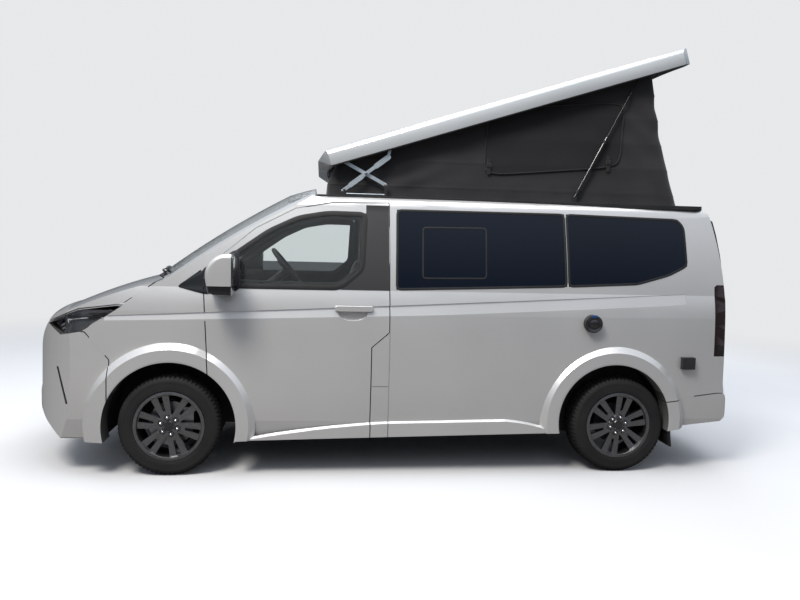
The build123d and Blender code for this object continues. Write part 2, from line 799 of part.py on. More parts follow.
# Tailgate
save("tailgate", panel(face_prism(GATE, 2100, 2700, grow=-half_gap), face_prism(GATE_GLASS, 2100, 2700),
                       side_prism(REAR_BUMPER, 0, grow=half_gap)))
save("tailgate_glass", glazing(face_prism(GATE_GLASS, 2100, 2700, grow=-seat_gap)))

# Floor, sills, bulkhead, chassis rails and wheel houses
floor_top = 520.0
floor_under = 488.0
bulkhead_x = -1300.0
floor_door_half = 910.0
with BuildPart() as slab:
    add(inner)
    add(box(bulkhead_x, 2430, -1000, 1000, floor_under, floor_top), mode=Mode.INTERSECT)
floor_slab = slab.part
with BuildPart() as wall:
    add(inner)
    add(box(bulkhead_x - 24, bulkhead_x, -1000, 1000, floor_under, 1230), mode=Mode.INTERSECT)
bulkhead = wall.part
sill_low = 290.0
sill_box = box(-1040, 1090, -900, -800, sill_low, floor_under)
rail_box = box(-2340, 2330, -470, -390, 330, 430)
jack_places = [(-850.0, -852.0), (980.0, -852.0), (-850.0, 852.0), (980.0, 852.0)]
jack_pad_deep = 12.0
with BuildPart() as pads:
    with BuildSketch(Plane.XY.offset(sill_low - jack_pad_deep)):
        with Locations(*jack_places):
            RectangleRounded(90, 60, 8)
    extrude(amount=jack_pad_deep + 5)
rail_boxes = [sill_box, sill_box.mirror(Plane.XZ), rail_box, rail_box.mirror(Plane.XZ), pads.part]
cross_places = [-2310.0, -1900.0, -950.0, 60.0, 950.0, 2240.0]
front_outer_house = disc(front_arch_x, front_arch_z, arch_radius + house_wall, 880, front_house_half - house_wall)
rear_outer_house = disc(rear_arch_x, rear_arch_z, rear_arch_radius + house_wall, 905, rear_house_half - house_wall)
front_inner_house = disc(front_arch_x, front_arch_z, arch_radius, 1100, front_house_half)
rear_inner_house = disc(rear_arch_x, rear_arch_z, rear_arch_radius, 1100, rear_house_half)
with BuildPart() as floor_pan:
    add(floor_slab)
    add(bulkhead)
    for rail in rail_boxes:
        add(rail)
    for x in cross_places:
        add(box(x - 30, x + 30, -480, 480, 345, 430))
        add(box(x - 20, x + 20, -470, -400, 420, floor_under + 4))
        add(box(x - 20, x + 20, 400, 470, 420, floor_under + 4))
    add(front_outer_house)
    add(rear_outer_house)
    add(box(-3000, 3000, -1100, 1100, -200, 236), mode=Mode.SUBTRACT)
    add(front_inner_house, mode=Mode.SUBTRACT)
    add(rear_inner_house, mode=Mode.SUBTRACT)
    add(box(-2100, -900, -1100, 1100, 0, 262), mode=Mode.SUBTRACT)
    add(box(rear_axle_x - 75, rear_axle_x + 75, -780, 780, 0, hub_height + 30), mode=Mode.SUBTRACT)
    add(box(door_hinge_x, door_rear_x + 20, -1000, -floor_door_half, 0, 1300), mode=Mode.SUBTRACT)
    add(box(door_hinge_x, door_rear_x + 20, floor_door_half, 1000, 0, 1300), mode=Mode.SUBTRACT)
    add(inner, mode=Mode.INTERSECT)
save("floor_pan", floor_pan.part)

# Black frame round the roof opening, on which the lid closes
with BuildPart() as ring:
    with BuildSketch(Plane.XY.offset(1876)):
        with Locations(((rim_front_x + rim_rear_x) / 2, 0)):
            RectangleRounded(rim_rear_x - rim_front_x, 2 * rim_ring_half, 90)
            RectangleRounded(rim_rear_x - rim_front_x - 2 * rim_ring_wide, 2 * (rim_ring_half - rim_ring_wide), 60,
                             mode=Mode.SUBTRACT)
    extrude(amount=200)
    add(above_crown(main_crown, -rim_ring_height), mode=Mode.SUBTRACT)
rim_ring = ring.part
rim_top_low = 1898.0
foot_ear_low = lift_bar_half + bar_thick / 2 + seat_gap
foot_ear = box(pin_x - 22, pin_x + 22, foot_ear_low, foot_ear_low + 4, rim_top_low, pin_rest + 12)
knee_ear_low = cross_bar_half + bar_thick / 2 + seat_gap
knee_ear = box(knee_x - 12, knee_x + 8, knee_ear_low, knee_ear_low + 4, rim_top_low, knee_z + 5)
strut_ear_low = strut_half + strut_radius + seat_gap
strut_ear = box(strut_foot_x - 16, strut_foot_x + 16, strut_ear_low, strut_ear_low + 4, rim_top_low, pin_rest + 12)
with BuildPart() as frame:
    add(rim_ring)
    for ear in (foot_ear, knee_ear, strut_ear):
        add(ear)
        add(ear.mirror(Plane.XZ))
    add(outer, mode=Mode.SUBTRACT)
save("roof_rim", frame.part)

# Lid of the lifting roof, made level about its pin and then raised
raised = Location((pin_x, 0, pin_rest + pin_lift), (0, -lid_angle, 0))


def lid_form(inset):
    """The lid's crowned outer form, or the hollow inside it."""
    half = lid_half - inset
    with BuildPart() as form:
        with BuildSketch(Plane.YZ.offset(lid_front + inset)):
            with BuildLine():
                low = -60.0 if inset else lid_edge
                Polyline((-half, 62.0 - inset), (-half, low), (half, low), (half, 62.0 - inset))
                ThreePointArc((-half, 62.0 - inset), (-half + 18, 88.0 - inset), (-half + 60, 101.0 - inset))
                ThreePointArc((half, 62.0 - inset), (half - 18, 88.0 - inset), (half - 60, 101.0 - inset))
                ThreePointArc((-half + 60, 101.0 - inset), (0, lid_crown - inset), (half - 60, 101.0 - inset))
            make_face()
        extrude(amount=lid_rear - lid_front - 2 * inset)
        with BuildSketch(Plane.XZ.offset(-1000)):
            with BuildLine():
                x0 = lid_front + inset
                x1 = lid_rear - inset
                high = lid_crown - inset
                Polyline((x0 + 77, -70), (x0 + 77, lid_edge), (x0, 56.0))
                ThreePointArc((x0, 56.0), (x0 + 60, 92.0 - 0.8 * inset), (x0 + 620, high))
                ThreePointArc((x0 + 620, high), (1500, high - 4), (x1, high - 24))
                Polyline((x1, high - 24), (x1 - 8, -70), (x0 + 77, -70))
            make_face()
        extrude(amount=2000, mode=Mode.INTERSECT)
        with BuildSketch(Plane.XY.offset(-100)):
            with BuildLine():
                x0 = lid_front + inset
                x1 = lid_rear - inset
                nose_side = x0 + lid_nose_round
                ThreePointArc((nose_side, -half), (x0 + 20, -half + 130), (x0, 0))
                ThreePointArc((x0, 0), (x0 + 20, half - 130), (nose_side, half))
                Polyline((nose_side, half), (x1 - 70, half), (x1, half - 70), (x1, -half + 70), (x1 - 70, -half),
                         (nose_side, -half))
            make_face()
        extrude(amount=400, mode=Mode.INTERSECT)
    return form.part


lid_outside = lid_form(0.0)
lid_inside = lid_form(lid_wall)
with BuildPart() as arch_below:
    with BuildSketch(Plane.YZ.offset(-600)):
        with BuildLine():
            rise = main_crown + rim_ring_height + 6 - pin_rest
            edge = rise - crown_radius(main_crown) + math.sqrt(crown_radius(main_crown) ** 2 - 900**2)
            ThreePointArc((-900, edge), (0, rise), (900, edge))
            Polyline((900, edge), (900, -300), (-900, -300), (-900, edge))
        make_face()
    extrude(amount=4000)
arch_below_lid = arch_below.part
with BuildPart() as lid:
    add(lid_outside)
    add(lid_inside, mode=Mode.SUBTRACT)
    add(arch_below_lid, mode=Mode.SUBTRACT)
lid_level = lid.part
ear_low = cross_bar_half + bar_thick / 2 + seat_gap
pin_ear = box(-20, 20, ear_low, ear_low + 4, -10, 26)
pin_tab = box(-20, 20, ear_low, lid_half - lid_wall + 3, 18, 26)
head_ear_low = strut_half + rod_radius + seat_gap
head_ear = box(strut_head_lid_x - 14, strut_head_lid_x + 14, head_ear_low, head_ear_low + 4, -10, 26)
head_tab = box(strut_head_lid_x - 14, strut_head_lid_x + 14, head_ear_low, lid_half - lid_wall + 3, 18, 26)
with BuildPart() as lid:
    add(lid_level)
    for ear in (pin_ear, pin_tab, head_ear, head_tab):
        add(ear)
        add(ear.mirror(Plane.XZ))
save("roof_lid", lid.part.moved(raised))


def bar(x0, z0, x1, z1, y, wide, thick):
    """A flat bar with round ends between two points of one upright plane."""
    long = math.hypot(x1 - x0, z1 - z0)
    lean = math.degrees(math.atan2(z1 - z0, x1 - x0))
    with BuildPart() as flat:
        with BuildSketch(Plane.XZ):
            SlotCenterToCenter(long, wide)
        extrude(amount=thick / 2, both=True)
    turned = flat.part.moved(Location((0, 0, 0), (0, -lean, 0)))
    return turned.moved(Location(((x0 + x1) / 2, y, (z0 + z1) / 2)))


def along(start, end, share):
    """A point at a share of the way between two points."""
    return start[0] + share * (end[0] - start[0]), start[1] + share * (end[1] - start[1])


pin_z = pin_rest + pin_lift
lift_foot = (pin_x, pin_rest)
lift_elbow = (lift_elbow_x, lift_elbow_z)
LIFT_PLATES = [
    # (share of the bar at the start, share at the end, added width)
    (0.0, 1.0, 0.0),
    (0.18, 0.42, 9.0),
    (0.74, 1.0, 12.0),
]
cross_bar = bar(pin_x, pin_z, knee_x, knee_z, -cross_bar_half, bar_wide, bar_thick)
with BuildPart() as lift_pair:
    for first, last, added in LIFT_PLATES:
        add(bar(*along(lift_foot, lift_elbow, first), *along(lift_foot, lift_elbow, last), -lift_bar_half,
                bar_wide + added, bar_thick))
    add(bar(*lift_elbow, lift_tip_x, lift_tip_z, -lift_bar_half, bar_wide * 0.8, bar_thick))
    with BuildSketch(Plane.XZ.offset(cross_bar_half + bar_thick / 2 + seat_gap)):
        with Locations((crossing_x, crossing_z)):
            Circle(8)
    extrude(amount=lift_bar_half - cross_bar_half - bar_thick / 2)
lift_bar = lift_pair.part
with BuildPart() as lift_bars:
    add(lift_bar)
    add(lift_bar.mirror(Plane.XZ))
save("lift_bars", lift_bars.part)
with BuildPart() as cross_bars:
    add(cross_bar)
    add(cross_bar.mirror(Plane.XZ))
save("cross_bars", cross_bars.part)

# Gas struts: the tube turns at its foot, the rod slides out of it

def along_strut(start, end, radius):
    """A round stick on the strut's line, in place at the left side."""
    with BuildPart() as stick:
        with BuildSketch(Plane.YZ.offset(start)):
            Circle(radius)
        extrude(amount=end - start)
    return stick.part.moved(Location((strut_foot_x, -strut_half, pin_rest), (0, -strut_lean, 0)))


tube_left = along_strut(0, strut_tube, strut_radius)
tube_bore = along_strut(20, strut_tube + 5, rod_radius + 1.5)
rod_left = along_strut(strut_tube - 30, strut_long, rod_radius)
with BuildPart() as strut_tubes:
    add(tube_left)
    add(tube_bore, mode=Mode.SUBTRACT)
tube_left = strut_tubes.part
with BuildPart() as strut_tubes:
    add(tube_left)
    add(tube_left.mirror(Plane.XZ))
save("strut_tubes", strut_tubes.part)
with BuildPart() as strut_rods:
    add(rod_left)
    add(rod_left.mirror(Plane.XZ))
save("strut_rods", strut_rods.part)

# Tent between the roof and the lid: side view of its outside, then of the room inside it
lid_slope = math.tan(math.radians(lid_angle))
tent_top = pin_z + 14
tent_front_x = -415.0
tent_peak_x = 1835.0
tent_wall = 30.0
with BuildPart() as tent:
    with BuildSketch(Plane.XZ):
        with BuildLine():
            Polyline(
                (-440.0, 1860.0),
                (tent_front_x, tent_top),
                (tent_peak_x, tent_top + (tent_peak_x - pin_x) * lid_slope),
                (1925.0, 2450.0),
                (2095.0, 1860.0),
                close=True,
            )
        make_face()
    extrude(amount=tent_half, both=True)
    with BuildSketch(Plane.XZ):
        with BuildLine():
            Polyline(
                (-440.0 + tent_wall, 1700.0),
                (tent_front_x + tent_wall, tent_top - 30),
                (tent_peak_x - 40, tent_top + (tent_peak_x - 40 - pin_x) * lid_slope - 40),
                (1925.0 - tent_wall, 2450.0),
                (2095.0 - tent_wall, 1700.0),
                close=True,
            )
        make_face()
    extrude(amount=tent_half - tent_wall, both=True, mode=Mode.SUBTRACT)
    add(above_crown(main_crown, -seat_gap), mode=Mode.INTERSECT)
save("tent", tent.part)

# Wheels: each is drawn with its axle along Y and its face towards -Y
def tyre_solid():
    """A tyre with its bead, sidewalls and shoulders."""
    half = tyre_width / 2
    seat = 218.3
    with BuildPart() as ring:
        with BuildSketch(Plane.XY):
            with BuildLine():
                Polyline(
                    (seat, 0.0),
                    (seat, -94.6),
                    (232.6, -94.6),
                    (236.0, -half + 3),
                    (282.0, -half),
                    (322.0, -half + 12),
                    (tyre_radius, -half + 38),
                    (tyre_radius, 0.0),
                    close=True,
                )
            make_face()
            mirror(about=Plane.XZ)
        revolve(axis=Axis.Y)
    return ring.part


def rim_solid():
    """A rim with six split spokes, its nuts and cap."""
    barrel = 218.0
    with BuildPart() as rim:
        with BuildSketch(Plane.XY):
            with BuildLine():
                Polyline(
                    (barrel - 12, -90.0),
                    (barrel - 6, -103.0),
                    (rim_radius, -103.0),
                    (rim_radius, -95.0),
                    (barrel, -95.0),
                    (barrel, 95.0),
                    (rim_radius, 95.0),
                    (rim_radius, 103.0),
                    (barrel - 6, 103.0),
                    (barrel - 12, 80.0),
                    (barrel - 12, -90.0),
                )
            make_face()
        revolve(axis=Axis.Y)
        with BuildSketch(Plane.XZ.offset(58)):
            with PolarLocations(0, 6):
                Polygon((50, -32), (barrel - 10, -62), (barrel - 10, 62), (50, 32), align=None)
            Circle(hub_radius)
        extrude(amount=26)
        with BuildSketch(Plane.XZ.offset(50)):
            with PolarLocations(0, 6):
                Polygon((104, -8), (barrel - 16, -15), (barrel - 16, 15), (104, 8), align=None)
        extrude(amount=60, mode=Mode.SUBTRACT)
        with BuildSketch(Plane.XZ.offset(34)):
            Circle(70)
            Circle(32.3, mode=Mode.SUBTRACT)
        extrude(amount=26)
        with BuildSketch(Plane.XZ.offset(84)):
            with PolarLocations(57, 6, start_angle=30):
                RegularPolygon(11, 6)
            Circle(28)
        extrude(amount=10)
    return rim.part


tyre = tyre_solid()
rim = rim_solid()
wheel_places = [
    # (name, axle x, side, turn of the spokes)
    ("front_left", front_axle_x, -1, 12.0),
    ("front_right", front_axle_x, 1, 12.0),
    ("rear_left", rear_axle_x, -1, -16.0),
    ("rear_right", rear_axle_x, 1, -16.0),
]
for name, x, side, spoke_turn in wheel_places:
    face = Location((0, 0, 0), (0, 0, 0)) if side < 0 else Location((0, 0, 0), (0, 0, 180))
    place = Location((x, side * wheel_centre_half, hub_height))
    spin = Location((0, 0, 0), (0, spoke_turn, 0))
    save(f"tyre_{name}", tyre.moved(place))
    save(f"rim_{name}", rim.moved(place * face * spin))

# Front knuckles with disc, hub and caliper; the king pin is upright
centre = wheel_centre_half
with BuildPart() as knuckle:
    with BuildSketch(Plane.XZ.offset(centre - 12)):
        Circle(150)
    extrude(amount=24)
    with BuildSketch(Plane.XZ.offset(centre - 60)):
        Circle(62)
    extrude(amount=93.7)
    with BuildSketch(Plane.XZ.offset(centre + 33)):
        Circle(32)
    extrude(amount=20)
    with BuildSketch(Plane.XZ.offset(king_pin_half - 26)):
        SlotCenterToCenter(250, 56, rotation=90)
    extrude(amount=50)
    with BuildSketch(Plane.XZ.offset(centre - 34)):
        with Locations((118, 60)):
            Rectangle(64, 110)
    extrude(amount=68)
knuckle_left = knuckle.part.moved(Location((front_axle_x, 0, hub_height)))
save("knuckle_left", knuckle_left)
save("knuckle_right", knuckle_left.mirror(Plane.XZ))

# Front suspension arms and subframe
knuckle_foot = hub_height - 125 - 28
with BuildPart() as arms:
    with BuildSketch(Plane.XY.offset(knuckle_foot - 30.3)):
        with BuildLine():
            Polyline(
                (front_axle_x - 30, -king_pin_half - 20),
                (front_axle_x + 30, -king_pin_half - 20),
                (front_axle_x + 130, -360),
                (front_axle_x - 120, -360),
                close=True,
            )
        make_face()
    extrude(amount=30)
    mirror(about=Plane.XZ)
    add(box(front_axle_x - 160, front_axle_x + 260, -390, 390, knuckle_foot - 40, 344.7))

# Rear axle beam with its hubs, discs and trailing arms
with BuildPart() as axle:
    with BuildSketch(Plane.XZ.offset(centre + 33)):
        Circle(32)
    extrude(amount=20)
    with BuildSketch(Plane.XZ.offset(centre - 110)):
        Circle(58)
    extrude(amount=143.7)
    with BuildSketch(Plane.XZ.offset(centre - 10)):
        Circle(145)
    extrude(amount=20)
    mirror(about=Plane.XZ)
    with BuildSketch(Plane.XZ.offset(centre - 100)):
        with Locations((0, -52)):
            Rectangle(90, 60)
    extrude(amount=-2 * (centre - 100))
    arm_box = box(-520, 20, -690, -630, -70, 0)
    add(arm_box)
    add(arm_box.mirror(Plane.XZ))
    arm_foot = box(-540, -460, -690, -480, -30, floor_under - hub_height - seat_gap)
    add(arm_foot)
    add(arm_foot.mirror(Plane.XZ))
with BuildPart() as suspension:
    add(arms.part)
    add(axle.part.moved(Location((rear_axle_x, 0, hub_height))))
save("suspension", suspension.part)

# Engine block, tank and exhaust
with BuildPart() as engine:
    add(box(-2180, -1560, -300, 300, 430.3, 980))
    add(box(-2360, -2310, -340, 340, 430.3, 900))
save("engine_block", engine.part)

with BuildPart() as tank:
    with BuildSketch(Plane.XY.offset(300)):
        with Locations((-420, -610)):
            RectangleRounded(900, 230, 40)
    extrude(amount=floor_under - seat_gap - 300)
    with BuildSketch(Plane.YZ.offset(-1180)):
        with Locations((300, 300)):
            Circle(26)
    extrude(amount=2300)
    with BuildSketch(Plane.YZ.offset(380)):
        with Locations((280, 296)):
            Ellipse(90, 60)
    extrude(amount=510)
    for x in (-880, 1000):
        add(box(x - 10, x + 10, 285, 315, 300, floor_under - seat_gap))
save("tank_and_exhaust", tank.part)

# Dashboard with the steering wheel on its column; the driver sits at the left
wheel_y = -400.0
with BuildPart() as dash:
    with BuildSketch(Plane.XZ.offset(-830)):
        with BuildLine():
            dash_front_x = bulkhead_x + seat_gap
            Polyline((dash_front_x, 900), (-1020, 860), (-930, 960), (-910, 1120), (-1000, 1210), (dash_front_x, 1224),
                     close=True)
        make_face()
        fillet([v for v in vertices() if v.X > -1200], 28)
    extrude(amount=1660)
    add(box(bulkhead_x + seat_gap, -1010, -170, 170, floor_top + seat_gap, 900))
column = Plane(origin=(-770, wheel_y, 1368), x_dir=(0, 1, 0), z_dir=(-0.78, 0, -0.62))
with BuildPart() as steering:
    with BuildSketch(Plane(origin=column.origin + column.x_dir * 182, x_dir=column.x_dir, z_dir=column.y_dir)):
        Circle(15)
    revolve(axis=Axis(column.origin, column.z_dir))
    with BuildSketch(column):
        Circle(62)
        with PolarLocations(0, 3, start_angle=90):
            with Locations((100, 0)):
                Rectangle(150, 34)
    extrude(amount=22)
    with BuildSketch(column):
        Circle(34)
    extrude(amount=300)
steering_wheel = steering.part
with BuildPart() as dashboard:
    add(dash.part)
    add(steering_wheel)
save("dashboard", dashboard.part)

# Two front seats, a rear bench and the camper cabinet
SEAT = [
    # (name, x, z) of one seat seen from the side
    ("front low", -700.0, 800.0),
    ("front", -720.0, 880.0),
    ("front top", -690.0, 930.0),
    ("bend", -330.0, 905.0),
    ("shoulder", -200.0, 1420.0),
    ("neck", -175.0, 1450.0),
    ("head top", -150.0, 1630.0),
    ("head back", -80.0, 1620.0),
    ("back neck", -85.0, 1440.0),
    ("back", -130.0, 1300.0),
    ("back foot", -215.0, 800.0),
]
with BuildPart() as seat:
    with BuildSketch(Plane.XZ.offset(240)):
        with BuildLine():
            Polyline(*[(x, z) for _, x, z in SEAT], close=True)
        make_face()
    extrude(amount=320)
    head_side = box(-260, 0, -800, -500, 1445, 1700)
    head_trim = box(-260, 0, -300, 0, 1445, 1700)
    add(head_side, mode=Mode.SUBTRACT)
    add(head_trim, mode=Mode.SUBTRACT)
    add(box(-690, -230, -560, -240, floor_top + seat_gap, 800))
save("front_seats", Compound([seat.part.solid(), seat.part.mirror(Plane.XZ).solid()]))

with BuildPart() as bench:
    with BuildSketch(Plane.XZ.offset(-650)):
        with BuildLine():
            Polyline(
                (1260, floor_top + seat_gap), (1240, 900), (1270, 930), (1720, 905), (1850, 1420), (1960, 1420),
                (1880, 900), (1840, floor_top + seat_gap), close=True,
            )
        make_face()
    extrude(amount=930)

with BuildPart() as cabinet:
    add(box(120, 1110, -800, -420, floor_top + seat_gap, 1240))
    add(box(1110, 1960, -640, -420, floor_top + seat_gap, 1240))
    for x in (140, 450, 770, 1120, 1530):
        add(box(x, x + 4, -428, -419, 560, 1200), mode=Mode.SUBTRACT)
    for z in (600, 860, 1190):
        add(box(140, 1940, -428, -419, z, z + 4), mode=Mode.SUBTRACT)
with BuildPart() as furniture:
    add(bench.part)
    add(cabinet.part)
save("cabin_furniture", furniture.part)

# Door mirrors: foot on the door, arm and head
mirror_face_x = -1090.0
mirror_outer_half = 1240.0
with BuildPart() as mirror_part:
    with BuildSketch(Plane.XZ.offset(1045)):
        with BuildLine():
            Polyline((-1252, 1330), (-1236, 1244), (-1200, 1230), (mirror_face_x, 1226), (mirror_face_x, 1488),
                     (-1140, 1490))
            ThreePointArc((-1140, 1490), (-1222, 1440), (-1252, 1330))
        make_face()
    extrude(amount=mirror_outer_half - 1045)
    fillet([e for e in edges().group_by(Axis.Y)[0] if e.center().X < mirror_face_x - 5], 30)
    with BuildSketch(Plane.XZ.offset(940)):
        with BuildLine():
            Polyline((-1250, 1240), (-1250, 1275), (-1120, 1275), (-1100, 1240), close=True)
        make_face()
    extrude(amount=110)
    add(outer, mode=Mode.SUBTRACT)
mirror_left = mirror_part.part
save("mirror_left", mirror_left)
save("mirror_right", mirror_left.mirror(Plane.XZ))

# Cowl panel with two wipers, mud flaps and the fittings on the left flank
cowl_panel = panel(cowl_prism(-seat_gap), bonnet_space, screen_space)
WIPERS = [
    # (first angle, arc of the blade) about the nose axis, in degrees
    (-17.0, 16.0),
    (3.0, 14.0),
]
BLADE = [(2278.0, 1353.0), (2290.0, 1356.0), (2287.0, 1371.0), (2273.0, 1363.0)]
ARM = [(2303.0, 1346.0), (2314.0, 1346.0), (2314.0, 1356.0), (2303.0, 1356.0)]
YOKE = [(2280.0, 1358.0), (2306.0, 1348.0), (2306.0, 1356.0), (2284.0, 1366.0)]


def nose_arc(points, first, arc):
    """A bar along the foot of the windscreen: a section of radii and heights, swept about the nose axis."""
    with BuildPart() as sweep:
        with BuildSketch(Plane.XZ):
            with BuildLine():
                Polyline(*[(-radius, z) for radius, z in points], close=True)
            make_face()
        revolve(axis=Axis.Z, revolution_arc=arc)
    return sweep.part.moved(Location((nose_axis_x, 0, 0), (0, 0, first)))


with BuildPart() as wipers:
    for first, arc in WIPERS:
        spindle = first + arc + 1.5
        add(nose_arc(BLADE, first, arc))
        add(nose_arc(ARM, first + arc / 2, spindle - first - arc / 2))
        add(nose_arc(YOKE, first + arc / 2 - 0.4, 0.8))
        with BuildSketch(Plane.XY.offset(1300)):
            with Locations(Location((nose_axis_x, 0, 0), (0, 0, spindle)) * Location((-2309, 0, 0))):
                Circle(8)
        extrude(amount=58)
wiper_pair = wipers.part

with BuildPart() as flaps:
    with BuildSketch(Plane.XZ.offset(975)):
        with BuildLine():
            Polyline((1946, 305.7), (1948, 260), (1968, 180), (1982, 180), (1970, 262), (1968, 308.6), close=True)
        make_face()
    extrude(amount=-200)
    mirror(about=Plane.XZ)
save("mud_flaps", flaps.part)

with BuildPart() as fittings:
    with BuildSketch(Plane.XZ.offset(960)):
        with Locations((1350, 1060)):
            Circle(61)
    extrude(amount=62)
    with BuildSketch(Plane.XZ.offset(940)):
        with Locations((2074, 783)):
            Rectangle(94, 84)
    extrude(amount=50)
    add(shell, mode=Mode.SUBTRACT)
with BuildPart() as trim:
    add(cowl_panel)
    add(wiper_pair)
    add(fittings.part)
save("outer_trim", trim.part)
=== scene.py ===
import logging
import math
from dataclasses import dataclass
from enum import Enum
from typing import Callable, Iterable, Sequence

import bpy
from mathutils import Matrix, Vector


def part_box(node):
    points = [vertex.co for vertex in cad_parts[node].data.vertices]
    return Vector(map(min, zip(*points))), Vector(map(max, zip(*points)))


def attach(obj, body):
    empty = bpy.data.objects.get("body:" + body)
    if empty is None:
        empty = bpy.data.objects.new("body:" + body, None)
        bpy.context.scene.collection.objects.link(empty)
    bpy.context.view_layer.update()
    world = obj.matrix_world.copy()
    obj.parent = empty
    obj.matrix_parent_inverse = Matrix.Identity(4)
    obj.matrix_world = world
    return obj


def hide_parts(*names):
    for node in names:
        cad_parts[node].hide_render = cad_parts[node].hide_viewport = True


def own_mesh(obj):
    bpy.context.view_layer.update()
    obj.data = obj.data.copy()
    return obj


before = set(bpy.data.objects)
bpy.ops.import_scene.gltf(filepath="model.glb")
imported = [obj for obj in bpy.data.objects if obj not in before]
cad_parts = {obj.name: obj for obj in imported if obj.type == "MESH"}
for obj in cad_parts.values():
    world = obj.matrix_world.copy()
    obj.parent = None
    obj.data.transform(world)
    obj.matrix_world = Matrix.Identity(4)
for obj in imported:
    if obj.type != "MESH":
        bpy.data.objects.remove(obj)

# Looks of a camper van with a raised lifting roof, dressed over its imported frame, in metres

log = logging.getLogger("camper_van")
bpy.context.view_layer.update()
Colour = tuple[float, float, float]
Point = Sequence[float]
Flat = tuple[float, float]
Outline = Sequence[Flat]
Socket = bpy.types.NodeSocket
Face = bpy.types.MeshPolygon


class Side(Enum):
    """The two flanks of the van."""

    LEFT = -1
    RIGHT = 1

    @property
    def label(self) -> str:
        """The side's name, as bodies and pieces have it."""
        return self.name.lower()

    @property
    def door(self) -> str:
        """The body of the front door on this side."""
        return f"door_{self.label}"

    @property
    def out(self) -> tuple[float, float, float]:
        """The way out of the van on this side."""
        return (0.0, float(self.value), 0.0)


# Finishes

BLACK = (0.012, 0.012, 0.013)
VAN_MIDDLE = (0.0, 0.0, 1.2)
INSIDE_SQUASH = (0.35, 1.0, 1.0)
INSIDE_LIMIT = -0.25
THREADS_IN_WAVE = 20
WAVE_WOBBLE = 0.6


class Graph:
    """A node tree that is laid in short calls."""

    def __init__(self, owner: bpy.types.Material | bpy.types.World, output: str) -> None:
        """Clears the tree and adds its output.

        Args:
            owner: The material or world.
            output: The kind of its output node.
        """
        owner.use_nodes = True
        self.tree = owner.node_tree
        self.tree.nodes.clear()
        self.output = self.add(output)

    def add(self, kind: str, inputs: dict[str | int, object] | None = None, **settings: object) -> bpy.types.Node:
        """Adds a node.

        Args:
            kind: Its type, without the word that all shader nodes begin with.
            inputs: What goes into its sockets: another socket is linked, a value is written.
            **settings: The node's own properties.

        Returns:
            The node.
        """
        node = self.tree.nodes.new(f"ShaderNode{kind}")
        for name, value in settings.items():
            setattr(node, name, value)
        for name, value in (inputs or {}).items():
            if isinstance(value, Socket):
                self.link(value, node.inputs[name])
            else:
                node.inputs[name].default_value = value
        return node

    def link(self, source: Socket, target: Socket) -> None:
        """Joins two sockets."""
        self.tree.links.new(source, target)

    def calculate(self, operation: str, first: Socket, second: Socket | float) -> Socket:
        """The result of one sum of two values."""
        return self.add("Math", {0: first, 1: second}, operation=operation).outputs[0]

    def between(self, value: Socket, start: Sequence[float], end: Sequence[float]) -> Socket:
        """Carries a value softly from one range to another.

        Args:
            value: What is carried.
            start: The range it has.
            end: The range it gets.

        Returns:
            The result's socket.
        """
        ends = {"From Min": start[0], "From Max": start[1], "To Min": end[0], "To Max": end[1]}
        return self.add("MapRange", {"Value": value, **ends}, interpolation_type="SMOOTHSTEP").outputs["Result"]

    def show(self, factor: Socket, first: Socket, second: Socket) -> None:
        """Sends a mix of two shaders to the output."""
        mix = self.add("MixShader", {0: factor, 1: first, 2: second})
        self.link(mix.outputs[0], self.output.inputs["Surface"])


